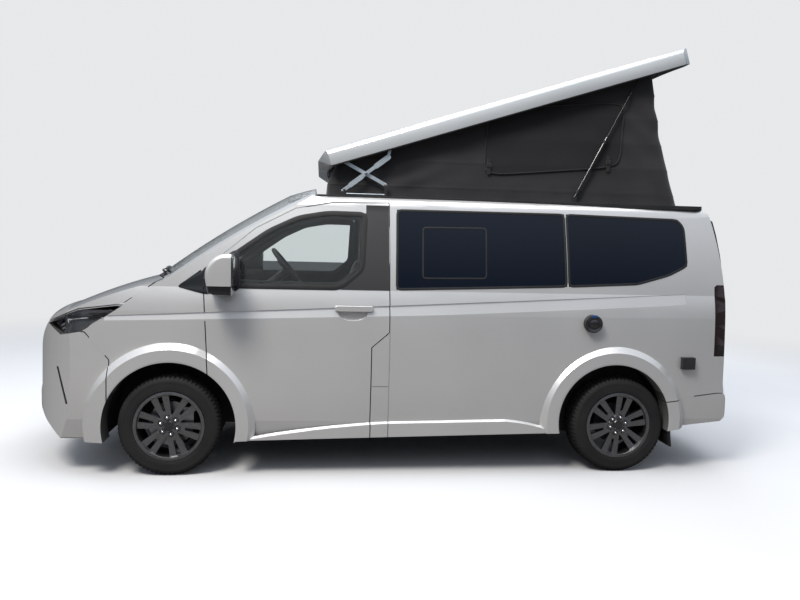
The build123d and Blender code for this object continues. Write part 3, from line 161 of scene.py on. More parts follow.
class Nodes(Graph):
    """The nodes of one material, on its Principled shader."""

    def __init__(self, name: str) -> None:
        """Starts the material with its shader on the output.

        Args:
            name: The material's name.
        """
        self.material = bpy.data.materials.new(name)
        super().__init__(self.material, "OutputMaterial")
        self.shader = self.add("BsdfPrincipled")
        self.link(self.shader.outputs["BSDF"], self.output.inputs["Surface"])
        coordinates = self.add("TexCoord")
        self.place = coordinates.outputs["Object"]
        self.normal = coordinates.outputs["Normal"]

    def set(self, **values: float | Colour) -> None:
        """Writes plain values on the shader's own sockets.

        Args:
            **values: The sockets' names, with underscores for spaces, and their values.
        """
        for name, value in values.items():
            socket = self.shader.inputs[name.replace("_", " ").title().replace("Ior", "IOR")]
            socket.default_value = (*value, 1.0) if isinstance(value, tuple) else value

    def paint(self, colour: Socket) -> None:
        """Gives the shader its base colour."""
        self.link(colour, self.shader.inputs["Base Color"])

    def noise(self, scale: float, detail: float = 3.0, stretch: Colour = (1.0, 1.0, 1.0)) -> Socket:
        """Noise over the piece.

        Args:
            scale: Cells in a metre.
            detail: Octaves.
            stretch: Factors along the axes.

        Returns:
            The noise's factor socket.
        """
        mapping = self.add("Mapping", {"Vector": self.place, "Scale": stretch})
        fields = {"Vector": mapping.outputs["Vector"], "Scale": scale, "Detail": detail}
        return self.add("TexNoise", fields).outputs["Fac"]

    def weave(self, threads: float) -> Socket:
        """Crossed threads as the product of two wave textures.

        Args:
            threads: Threads in a metre.

        Returns:
            The height socket.
        """
        fields = {"Vector": self.place, "Scale": threads / THREADS_IN_WAVE, "Distortion": WAVE_WOBBLE}
        along, across = (self.add("TexWave", fields, bands_direction=way).outputs["Fac"] for way in ("X", "Z"))
        return self.calculate("MULTIPLY", along, across)

    def ramp(self, factor: Socket, dark: Colour, light: Colour, low: float = 0.3, high: float = 0.7) -> Socket:
        """A colour that runs between two tones.

        Args:
            factor: What drives it.
            dark: Tone at the low stop.
            light: Tone at the high stop.
            low: Place of the low stop.
            high: Place of the high stop.

        Returns:
            The colour socket.
        """
        node = self.add("ValToRGB", {"Fac": factor})
        first, last = node.color_ramp.elements
        first.position, first.color = low, (*dark, 1.0)
        last.position, last.color = high, (*light, 1.0)
        return node.outputs["Color"]

    def covered(self, colour: Socket, cover: Colour, mask: Socket) -> Socket:
        """Lays a plain tone over a colour where a mask is 1."""
        return self.add("Mix", {"Factor": mask, 6: colour, 7: (*cover, 1.0)}, data_type="RGBA").outputs[2]

    def fade(self, tone: Colour, near: float, far: float) -> None:
        """Lets the camera see one plain bright tone in place of the surface, further from the middle.

        Args:
            tone: What is seen.
            near: Distance where it starts.
            far: Distance where nothing else is seen.
        """
        length = self.add("VectorMath", {0: self.place}, operation="LENGTH").outputs["Value"]
        reach = self.between(length, (near, far), (0.0, 1.0))
        seen = self.calculate("MULTIPLY", self.add("LightPath").outputs["Is Camera Ray"], reach)
        glow = self.add("Emission", {"Color": (*tone, 1.0)})
        self.show(seen, self.shader.outputs["BSDF"], glow.outputs[0])

    def dim(self, tone: Colour) -> None:
        """Lets the surface throw back less light than the camera sees, so that it doesn't wash out what stands on it.

        Args:
            tone: The colour that all rays but the camera's meet.
        """
        shown = self.output.inputs["Surface"].links[0].from_socket
        dull = self.add("BsdfDiffuse", {"Color": (*tone, 1.0)})
        self.show(self.add("LightPath").outputs["Is Camera Ray"], dull.outputs[0], shown)

    def below(self, height: float) -> Socket:
        """A mask of what lies under one height."""
        return self.calculate("LESS_THAN", self.add("SeparateXYZ", {0: self.place}).outputs["Z"], height)

    def inside(self) -> Socket:
        """A mask of the faces that look towards the middle of the van.

        Returns:
            The mask's socket.
        """
        value = self.place
        for operation, other in (("SUBTRACT", VAN_MIDDLE), ("MULTIPLY", INSIDE_SQUASH)):
            value = self.add("VectorMath", {0: value, 1: other}, operation=operation).outputs[0]
        towards = self.add("VectorMath", {0: value, 1: self.normal}, operation="DOT_PRODUCT")
        return self.calculate("LESS_THAN", towards.outputs["Value"], INSIDE_LIMIT)

    def roughen(self, factor: Socket, middle: float, spread: float, least: float = 0.0) -> None:
        """Lets the roughness run between two values.

        Args:
            factor: What drives it.
            middle: The roughness in the middle.
            spread: How far it goes to either side.
            least: What it never falls below.
        """
        ends = {"To Min": max(least, middle - spread), "To Max": middle + spread}
        node = self.add("MapRange", {"Value": factor, **ends})
        self.link(node.outputs["Result"], self.shader.inputs["Roughness"])

    def bump(self, height: Socket, strength: float, distance: float) -> None:
        """Raises the surface a little.

        Args:
            height: The pattern.
            strength: From 0 to 1.
            distance: Height in metres.
        """
        node = self.add("Bump", {"Strength": strength, "Distance": distance, "Height": height})
        self.link(node.outputs["Normal"], self.shader.inputs["Normal"])


@dataclass(frozen=True)
class Finish:
    """What every finish has: a name and two close tones."""

    name: str
    dark: Colour
    light: Colour

    def material(self) -> bpy.types.Material:
        """Makes the material once.

        Returns:
            The same material each time.
        """
        known = bpy.data.materials.get(self.name)
        if known:
            return known
        nodes = Nodes(self.name)
        self.lay(nodes)
        return nodes.material

    def lay(self, nodes: Nodes) -> None:
        """Lays the nodes of one kind of finish, in the material that is given."""
        raise NotImplementedError


@dataclass(frozen=True)
class Lacquer(Finish):
    """Body lacquer: a metallic base with fine flakes under a clear coat."""

    metallic: float = 0.5
    roughness: float = 0.30
    coat: float = 1.0
    flakes: float = 900.0
    coat_roughness: float = 0.04
    lining: Colour | None = None
    foot: float | None = None
    clouds: Flat = (1.4, 2.0)
    unevenness: float = 0.06
    relief: Flat = (0.05, 0.0002)

    def lay(self, nodes: Nodes) -> None:
        """Lays cloudy colour, flakes in the bump and a clear coat."""
        colour = nodes.ramp(nodes.noise(*self.clouds), self.dark, self.light)
        if self.lining:
            colour = nodes.covered(colour, self.lining, nodes.inside())
        if self.foot:
            colour = nodes.covered(colour, BLACK, nodes.below(self.foot))
        nodes.paint(colour)
        nodes.roughen(nodes.noise(self.flakes, 1.0), self.roughness, self.unevenness)
        nodes.bump(nodes.noise(self.flakes, 1.0), *self.relief)
        nodes.set(metallic=self.metallic, coat_weight=self.coat, coat_roughness=self.coat_roughness)


@dataclass(frozen=True)
class Moulding(Finish):
    """Moulded plastic or rubber with a fine grain."""

    roughness: float = 0.55
    grain: float = 700.0
    depth: float = 0.0004
    coat: float = 0.0
    mottle: float = 6.0
    wear: float = 18.0
    unevenness: float = 0.08
    strength: float = 0.25

    def lay(self, nodes: Nodes) -> None:
        """Lays tone, grain and an uneven gloss."""
        nodes.paint(nodes.ramp(nodes.noise(self.mottle), self.dark, self.light))
        nodes.roughen(nodes.noise(self.wear), self.roughness, self.unevenness)
        nodes.bump(nodes.noise(self.grain, 2.0), self.strength, self.depth)
        nodes.set(coat_weight=self.coat)


@dataclass(frozen=True)
class Metal(Finish):
    """Bare, plated or lacquered metal."""

    roughness: float = 0.3
    brushed: Colour = (1.0, 1.0, 1.0)
    coat: float = 0.0
    streaks: Flat = (60.0, 4.0)
    unevenness: float = 0.08
    least_roughness: float = 0.02
    relief: Flat = (0.05, 0.0002)

    def lay(self, nodes: Nodes) -> None:
        """Lays tone, a brushed gloss and shallow scratches."""
        streaks = nodes.noise(*self.streaks, self.brushed)
        nodes.paint(nodes.ramp(streaks, self.dark, self.light))
        nodes.roughen(streaks, self.roughness, self.unevenness, self.least_roughness)
        nodes.bump(streaks, *self.relief)
        nodes.set(metallic=1.0, coat_weight=self.coat)


@dataclass(frozen=True)
class Cloth(Finish):
    """Woven cloth."""

    threads: float = 600.0
    roughness: float = 0.85
    sheen: float = 0.3
    wear: Flat = (3.0, 5.0)
    relief: Flat = (0.35, 0.0005)

    def lay(self, nodes: Nodes) -> None:
        """Lays worn tone and the weave."""
        nodes.paint(nodes.ramp(nodes.noise(*self.wear), self.dark, self.light))
        nodes.bump(nodes.weave(self.threads), *self.relief)
        nodes.set(roughness=self.roughness, sheen_weight=self.sheen)


@dataclass(frozen=True)
class Pane(Finish):
    """Glass: clear, or with a privacy tint."""

    clear: float = 1.0
    roughness: float = 0.0
    ior: float = 1.45
    clouds: Flat = (0.8, 1.0)
    ripples: Flat = (2.5, 0.0)
    relief: Flat = (0.02, 0.002)

    def lay(self, nodes: Nodes) -> None:
        """Lays a tint that is a little uneven, as rolled glass is."""
        nodes.paint(nodes.ramp(nodes.noise(*self.clouds), self.dark, self.light))
        nodes.bump(nodes.noise(*self.ripples), *self.relief)
        nodes.set(roughness=self.roughness, transmission_weight=self.clear, ior=self.ior)


@dataclass(frozen=True)
class Board(Finish):
    """Laminated board with a faint wood grain."""

    roughness: float = 0.45
    grain: tuple[float, float, Colour] = (30.0, 6.0, (0.12, 1.0, 1.0))
    relief: Flat = (0.08, 0.0003)

    def lay(self, nodes: Nodes) -> None:
        """Lays long grain."""
        grain = nodes.noise(*self.grain)
        nodes.paint(nodes.ramp(grain, self.dark, self.light))
        nodes.bump(grain, *self.relief)
        nodes.set(roughness=self.roughness)


PEARL = ((0.70, 0.692, 0.685), (0.75, 0.742, 0.735))
PALE = (0.26, 0.26, 0.25)
BODY = Lacquer("pearl lacquer", *PEARL, lining=PALE)
DOOR = Lacquer("door lacquer", *PEARL, lining=BLACK)
LID = Lacquer("lid lacquer", (0.48, 0.50, 0.52), (0.54, 0.56, 0.58), metallic=0.1, lining=PALE)
GLOSS_BLACK = Lacquer("gloss black", (0.008, 0.008, 0.01), (0.012, 0.012, 0.014), metallic=0.0, roughness=0.2)
PILLAR_GREY = Lacquer(
    "pillar film", (0.026, 0.025, 0.026), (0.034, 0.033, 0.034), metallic=0.0, roughness=0.5, coat=0.3)
TRIM = Moulding("black trim", BLACK, (0.022, 0.022, 0.024))
SEAL = Moulding("rubber seal", (0.008, 0.008, 0.009), (0.016, 0.016, 0.017), roughness=0.65)
TYRE = Moulding(
    "tyre rubber", (0.006, 0.006, 0.006), (0.013, 0.0125, 0.012), roughness=0.75, grain=350.0, depth=0.0008)
CABIN = Moulding("cabin plastic", (0.008, 0.008, 0.009), (0.015, 0.015, 0.016), roughness=0.6)
UNDERBODY = Moulding("underbody coat", BLACK, (0.03, 0.03, 0.031), roughness=0.8, grain=120.0, depth=0.002)
GRAPHITE = Metal("graphite rim", (0.20, 0.20, 0.205), (0.26, 0.26, 0.265), roughness=0.36, coat=0.5)
DARK_ROD = Metal("blackened rod", (0.03, 0.03, 0.032), (0.05, 0.05, 0.052), roughness=0.3)
STEEL = Metal("brushed steel", (0.28, 0.28, 0.29), (0.42, 0.42, 0.43), roughness=0.35, brushed=(1.0, 1.0, 12.0))
CHROME = Metal("bright chrome", (0.72, 0.72, 0.73), (0.82, 0.82, 0.83), roughness=0.08)
LINK = Metal("link bar steel", (0.62, 0.70, 0.75), (0.72, 0.79, 0.84), roughness=0.45)
IRON = Metal("cast iron", (0.08, 0.078, 0.075), (0.15, 0.145, 0.14), roughness=0.6)
TENT = Cloth("tent cloth", (0.013, 0.013, 0.015), (0.026, 0.025, 0.028), sheen=0.15)
SEAT = Cloth("seat cloth", (0.02, 0.02, 0.022), (0.045, 0.045, 0.048), threads=420.0)
CLEAR = Pane("clear glass", (0.86, 0.90, 0.89), (0.90, 0.93, 0.92))
PRIVACY = Pane("privacy glass", (0.001, 0.004, 0.012), (0.002, 0.006, 0.016), clear=0.1, roughness=0.02)
LENS = Pane("lamp lens", (0.80, 0.82, 0.85), (0.88, 0.90, 0.92))
RED_LENS = Pane("red lens", (0.20, 0.004, 0.004), (0.32, 0.008, 0.008), clear=0.4, roughness=0.05)
LAMINATE = Board("furniture laminate", (0.30, 0.27, 0.23), (0.42, 0.39, 0.34))
HOUSING = Moulding("lamp housing", (0.05, 0.055, 0.065), (0.10, 0.105, 0.115), roughness=0.3, coat=0.4)
RED_TRAY = Moulding("tail lamp tray", (0.022, 0.004, 0.005), (0.04, 0.006, 0.007), roughness=0.35, coat=0.4)
SMOKED = Pane("smoked lens", (0.020, 0.012, 0.013), (0.035, 0.020, 0.022), clear=0.35, roughness=0.04)
MIRROR_SHELL = Lacquer("mirror lacquer", *PEARL, foot=1.288)
MIRROR_GLASS = Metal("mirror glass", (0.62, 0.65, 0.68), (0.68, 0.70, 0.72), roughness=0.1)
TENT_FLAP = Cloth("window flap cloth", (0.006, 0.006, 0.008), (0.010, 0.010, 0.012), sheen=0.1)
BLUE = Moulding("blue tab", (0.01, 0.06, 0.22), (0.015, 0.085, 0.30), roughness=0.4)
WEBBING = Cloth("webbing", (0.006, 0.006, 0.007), (0.012, 0.012, 0.014), threads=900.0)

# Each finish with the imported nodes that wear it
NODE_FINISHES: dict[Finish, str] = {
    BODY: "body_shell roof_panel bonnet front_bumper rear_bumper mirror_left mirror_right",
    DOOR: "sliding_door front_door_left front_door_right tailgate",
    LID: "roof_lid", GLOSS_BLACK: "grille strut_tubes", SEAL: "mud_flaps", TRIM: "outer_trim roof_rim",
    LENS: "headlamps", RED_LENS: "tail_lamps", CLEAR: "windscreen door_glass_left door_glass_right",
    PRIVACY: "side_glass tailgate_glass", LINK: "lift_bars cross_bars", DARK_ROD: "strut_rods", TENT: "tent",
    CABIN: "dashboard", SEAT: "front_seats", LAMINATE: "cabin_furniture",
    UNDERBODY: "floor_pan suspension tank_and_exhaust", IRON: "engine_block", STEEL: "knuckle_left knuckle_right",
    TYRE: "tyre_front_left tyre_front_right tyre_rear_left tyre_rear_right",
    GRAPHITE: "rim_front_left rim_front_right rim_rear_left rim_rear_right",
}


def dress_nodes() -> None:
    """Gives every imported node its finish."""
    for finish, names in NODE_FINISHES.items():
        for name in names.split():
            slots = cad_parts[name].data.materials
            slots.clear()
            slots.append(finish.material())
    log.info("dressed %d packed nodes", sum(len(names.split()) for names in NODE_FINISHES.values()))


# The bench: how a piece is modelled and finished


SHEET_MERGE = 0.00005
PACKED_MERGE = 0.00002
FLAT_ANGLE = math.radians(0.6)
# the share of a turn from which a point falls on the first one
TURN_END = 0.999
ROPE_FACETS = 3


def clear_selection() -> None:
    """Leaves edit mode and selects nothing."""
    if bpy.context.object and bpy.context.object.mode != "OBJECT":
        bpy.ops.object.mode_set(mode="OBJECT")
    bpy.ops.object.select_all(action="DESELECT")


def bring(name: str, data: bpy.types.ID) -> None:
    """Puts new data in the scene, as the only selected object and the active one.

    Args:
        name: The object's name.
        data: Its mesh or curve.
    """
    clear_selection()
    holder = bpy.data.objects.new(name, data)
    bpy.context.scene.collection.objects.link(holder)
    bpy.context.view_layer.objects.active = holder
    holder.select_set(True)


class Bench:
    """One piece on the bench, from its first primitive to its finish."""

    def __init__(self, name: str) -> None:
        """Takes the active object on.

        Args:
            name: The piece's name.
        """
        self.piece = bpy.context.object
        self.piece.name = name
        self.piece.data.name = name

    @classmethod
    def sheet(cls, name: str, columns: int, rows: int, place: Callable[[float, float], Point]) -> "Bench":
        """Lays a grid over a surface.

        Args:
            name: The piece's name.
            columns: Faces along the first way.
            rows: Faces along the second way.
            place: Gives a point for two shares from 0 to 1.

        Returns:
            The piece, open, with its doubles merged.
        """
        clear_selection()
        bpy.ops.mesh.primitive_grid_add(x_subdivisions=columns, y_subdivisions=rows, size=2.0)
        bench = cls(name)
        for vertex in bench.piece.data.vertices:
            vertex.co = place(0.5 + vertex.co.x / 2, 0.5 + vertex.co.y / 2)
        return bench.edit(lambda: bpy.ops.mesh.remove_doubles(threshold=SHEET_MERGE))

    @classmethod
    def plate(cls, name: str, outline: Sequence[Point], push: Point) -> "Bench":
        """Lays one face on an outline and pulls it up to a plate.

        Args:
            name: The piece's name.
            outline: The face's corners in space.
            push: How far and which way it is extruded.

        Returns:
            The closed plate.
        """
        clear_selection()
        bpy.ops.mesh.primitive_circle_add(vertices=len(outline), fill_type="NGON")
        bench = cls(name)
        for vertex, point in zip(bench.piece.data.vertices, outline):
            vertex.co = point
        bench.edit(lambda: bpy.ops.mesh.extrude_region_move(TRANSFORM_OT_translate={"value": tuple(push)}))
        return bench.outward()

    @classmethod
    def lathe(cls, name: str, profile: Sequence[Point], centre: Point, axis: Point, steps: int = 48) -> "Bench":
        """Turns a profile of (radius, height) about an axis.

        Args:
            name: The piece's name.
            profile: Radius and height along the axis, from one end to the other.
            centre: Where height 0 lies.
            axis: The way that height runs.
            steps: Faces round the axis.

        Returns:
            The turned piece, with outward faces.
        """
        along = Vector(axis).normalized()
        across = along.orthogonal().normalized()
        third = along.cross(across)
        last = len(profile) - 1

        def place(share: float, turn: float) -> Vector:
            """A point of the profile, turned."""
            radius, height = profile[round(share * last)]
            angle = 2 * math.pi * (turn if turn < TURN_END else 0.0)
            return Vector(centre) + along * height + (across * math.cos(angle) + third * math.sin(angle)) * radius

        return cls.sheet(name, last, steps, place).outward()

    @classmethod
    def rope(cls, name: str, points: Sequence[Point], radius: float, closed: bool = False,
             smooth: bool = False) -> "Bench":
        """Draws a round bar through points.

        Args:
            name: The piece's name.
            points: What it runs through.
            radius: Half its thickness.
            closed: Whether it meets its start.
            smooth: Whether it is a spline that rounds the corners.

        Returns:
            The bar as a mesh.
        """
        curve = bpy.data.curves.new(name, "CURVE")
        curve.dimensions = "3D"
        spline = curve.splines.new("NURBS" if smooth else "POLY")
        spline.points.add(len(points) - 1)
        for target, point in zip(spline.points, points):
            target.co = (*point, 1.0)
        spline.use_cyclic_u = closed
        if smooth:
            spline.order_u = 3
            spline.use_endpoint_u = True
        curve.bevel_depth = radius
        curve.bevel_resolution = ROPE_FACETS
        curve.use_fill_caps = not closed
        bring(name, curve)
        bpy.ops.object.convert(target="MESH")
        return cls(name)

    @classmethod
    def copy_of(cls, name: str, node: str) -> "Bench":
        """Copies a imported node's mesh and merges its loose triangles.

        Args:
            name: The copy's name.
            node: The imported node.

        Returns:
            The copy, with flat faces joined.
        """
        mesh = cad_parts[node].data.copy()
        mesh.materials.clear()
        bring(name, mesh)
        bench = cls(name)
        bench.edit(lambda: bpy.ops.mesh.remove_doubles(threshold=PACKED_MERGE))
        return bench.edit(lambda: bpy.ops.mesh.dissolve_limited(angle_limit=FLAT_ANGLE))

    def activate(self) -> None:
        """Selects this piece alone and makes it the active one."""
        clear_selection()
        bpy.context.view_layer.objects.active = self.piece
        self.piece.select_set(True)

    def edit(self, work: Callable[[], object], all_faces: bool = True) -> "Bench":
        """Does one operator in edit mode.

        Args:
            work: The operator's call.
            all_faces: Whether everything is selected first.

        Returns:
            The same piece.
        """
        self.activate()
        bpy.ops.object.mode_set(mode="EDIT")
        if all_faces:
            bpy.ops.mesh.select_all(action="SELECT")
        work()
        bpy.ops.object.mode_set(mode="OBJECT")
        return self

    def keep(self, wanted: Callable[[Face], bool]) -> "Bench":
        """Deletes every face that isn't wanted.

        Args:
            wanted: Whether a face stays.

        Returns:
            The same piece.
        """
        clear_selection()
        mesh = self.piece.data
        for element in (*mesh.vertices, *mesh.edges):
            element.select = False
        for face in mesh.polygons:
            face.select = not wanted(face)
        return self.edit(lambda: bpy.ops.mesh.delete(type="FACE"), all_faces=False)

    def outward(self) -> "Bench":
        """Turns all faces outwards."""
        return self.edit(lambda: bpy.ops.mesh.normals_make_consistent(inside=False))

    def modify(self, kind: str, **values: object) -> "Bench":
        """Adds a modifier and applies it.

        Args:
            kind: The modifier's type.
            **values: What is set on it.

        Returns:
            The same piece.
        """
        self.activate()
        modifier = self.piece.modifiers.new(kind.lower(), kind)
        for name, value in values.items():
            setattr(modifier, name, value)
        bpy.ops.object.modifier_apply(modifier=modifier.name)
        return self

    def thicken(self, amount: float, offset: float = -1.0) -> "Bench":
        """Gives an open sheet a wall."""
        return self.modify("SOLIDIFY", thickness=amount, offset=offset)

    def bevel(self, width: float, segments: int = 2, angle: float = 35.0) -> "Bench":
        """Rounds the sharp edges."""
        return self.modify("BEVEL", width=width, segments=segments, limit_method="ANGLE",
                           angle_limit=math.radians(angle), harden_normals=False)

    def facing(self, way: Point) -> "Bench":
        """Turns an open sheet so that most of its faces look one way."""
        seen = sum(face.normal.dot(Vector(way)) * face.area for face in self.piece.data.polygons)
        return self if seen > 0 else self.edit(lambda: bpy.ops.mesh.flip_normals())

    def join(self, others: Iterable["Bench"]) -> "Bench":
        """Joins other pieces to this one.

        Args:
            others: The other pieces.

        Returns:
            This piece.
        """
        self.activate()
        for other in others:
            other.piece.select_set(True)
        bpy.ops.object.join()
        return self

    def finish(self, finish: Finish, slot: str, body: str = "root", smooth: float = 35.0,
               instead: Sequence[str] = ()) -> bpy.types.Object:
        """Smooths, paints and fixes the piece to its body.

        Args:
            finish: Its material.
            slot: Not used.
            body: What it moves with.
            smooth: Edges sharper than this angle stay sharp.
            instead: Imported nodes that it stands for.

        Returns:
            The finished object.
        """
        self.activate()
        bpy.ops.object.transform_apply(location=True, rotation=True, scale=True)
        bpy.ops.object.shade_smooth_by_angle(angle=math.radians(smooth))
        self.piece.data.materials.clear()
        self.piece.data.materials.append(finish.material())
        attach(self.piece, body)
        if instead:
            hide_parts(*instead)
        log.info("%s: %d faces", self.piece.name, len(self.piece.data.polygons))
        return self.piece


# The flank's section, as (height, half width) in metres, in arcs of three places
FLANK_ARCS = (
    ((0.225, 0.940), (0.246, 0.958), (0.372, 0.984)),
    ((0.372, 0.984), (0.720, 1.002), (1.100, 0.992)),
    ((1.100, 0.992), (1.190, 0.980), (1.262, 0.964)),
    ((1.262, 0.964), (1.560, 0.921), (1.815, 0.868)),
    ((1.815, 0.868), (1.865, 0.845), (1.894, 0.800)),
)
BARREL_MIDDLE = 0.1
BARREL_RADIUS = 40.0
SEAM_LEAN = 0.08
BELLY_HALF = 1.002
LID_SLOPE = math.tan(math.radians(17.8))


def flank_half(x: float, z: float) -> float:
    """Half width of the body skin at one place of the flank.

    Args:
        x: Place along the van.
        z: Height.

    Returns:
        The distance from the middle plane.
    """
    arc = next((arc for arc in FLANK_ARCS if z <= arc[2][0]), FLANK_ARCS[-1])
    (z0, h0), (z1, h1), (z2, h2) = arc
    half = (h0 * (z - z1) * (z - z2) / ((z0 - z1) * (z0 - z2)) + h1 * (z - z0) * (z - z2) / ((z1 - z0) * (z1 - z2))
            + h2 * (z - z0) * (z - z1) / ((z2 - z0) * (z2 - z1)))
    return half - (x - BARREL_MIDDLE) ** 2 / (2 * BARREL_RADIUS)


def on_flank(x: float, z: float, side: Side, lift: float = 0.0, lean: float = 0.0) -> Vector:
    """A point on the body skin, or lifted off it.

    Args:
        x: Place along the van.
        z: Height.
        side: Left or right.
        lift: Distance out of the skin.
        lean: Lean of the seam that the place belongs to.

    Returns:
        The point.
    """
    half = flank_half(x, z)
    return Vector((x + lean * (half - BELLY_HALF), side.value * (half + lift), z))


def rounded(outline: Outline, radius: float, steps: int = 5) -> list[Flat]:
    """Rounds the corners of a closed flat outline.

    Args:
        outline: Corners in order.
        radius: Length that each corner takes off its sides.
        steps: Points on each corner.

    Returns:
        The finer outline.
    """
    result = []
    count = len(outline)
    for index in range(count):
        before, corner, after = (Vector(outline[(index + step) % count]) for step in (-1, 0, 1))
        start = corner + (before - corner).normalized() * min(radius, (before - corner).length * 0.45)
        end = corner + (after - corner).normalized() * min(radius, (after - corner).length * 0.45)
        for share in (step / steps for step in range(steps + 1)):
            result.append(tuple(start.lerp(corner, share).lerp(corner.lerp(end, share), share)))
    return result


def divided(outline: Outline, longest: float = 0.06) -> list[Flat]:
    """Divides the long sides of a closed flat outline.

    Args:
        outline: Its corners.
        longest: The longest side that is left.

    Returns:
        The finer outline.
    """
    result = []
    for index, start in enumerate(outline):
        end = outline[(index + 1) % len(outline)]
        parts = max(1, math.ceil(math.dist(start, end) / longest))
        result += [tuple(Vector(start).lerp(Vector(end), step / parts)) for step in range(parts)]
    return result


def inward(outline: Outline, distance: float) -> list[Flat]:
    """Moves every point of a closed flat outline towards its inside.

    Args:
        outline: Its points.
        distance: How far they move; outwards where negative.

    Returns:
        The moved outline.
    """
    count = len(outline)
    following = [outline[(index + 1) % count] for index in range(count)]
    area = sum(x * next_y - next_x * y for (x, y), (next_x, next_y) in zip(outline, following))
    turn = 1.0 if area > 0 else -1.0
    result = []
    for index, (x, y) in enumerate(outline):
        tangent = (Vector(following[index]) - Vector(outline[index - 1])).normalized()
        result.append((x - turn * tangent.y * distance, y + turn * tangent.x * distance))
    return result


def band(name: str, outline: Outline, width: float, side: Side, lift: float = 0.0, lean: float = 0.0,
         rise: float = 0.002) -> Bench:
    """A flat strip round a closed outline on the flank.

    Args:
        name: The piece's name.
        outline: Its outer line as (x, z).
        width: How far it reaches inwards; outwards where negative.
        side: Left or right.
        lift: Distance of its foot from the skin.
        lean: Lean of the seam.
        rise: Its thickness.

    Returns:
        The strip with rounded edges.
    """
    fine = divided(outline)
    other = inward(fine, width)
    count = len(fine)

    def place(along: float, across: float) -> Vector:
        """A point of one of the strip's two edges."""
        x, z = (fine if across < 0.5 else other)[round(along * count) % count]
        return on_flank(x, z, side, lift + rise, lean)

    return Bench.sheet(name, count, 1, place).facing(side.out).thicken(rise + 0.0005).bevel(rise * 0.45, 2, 50.0)


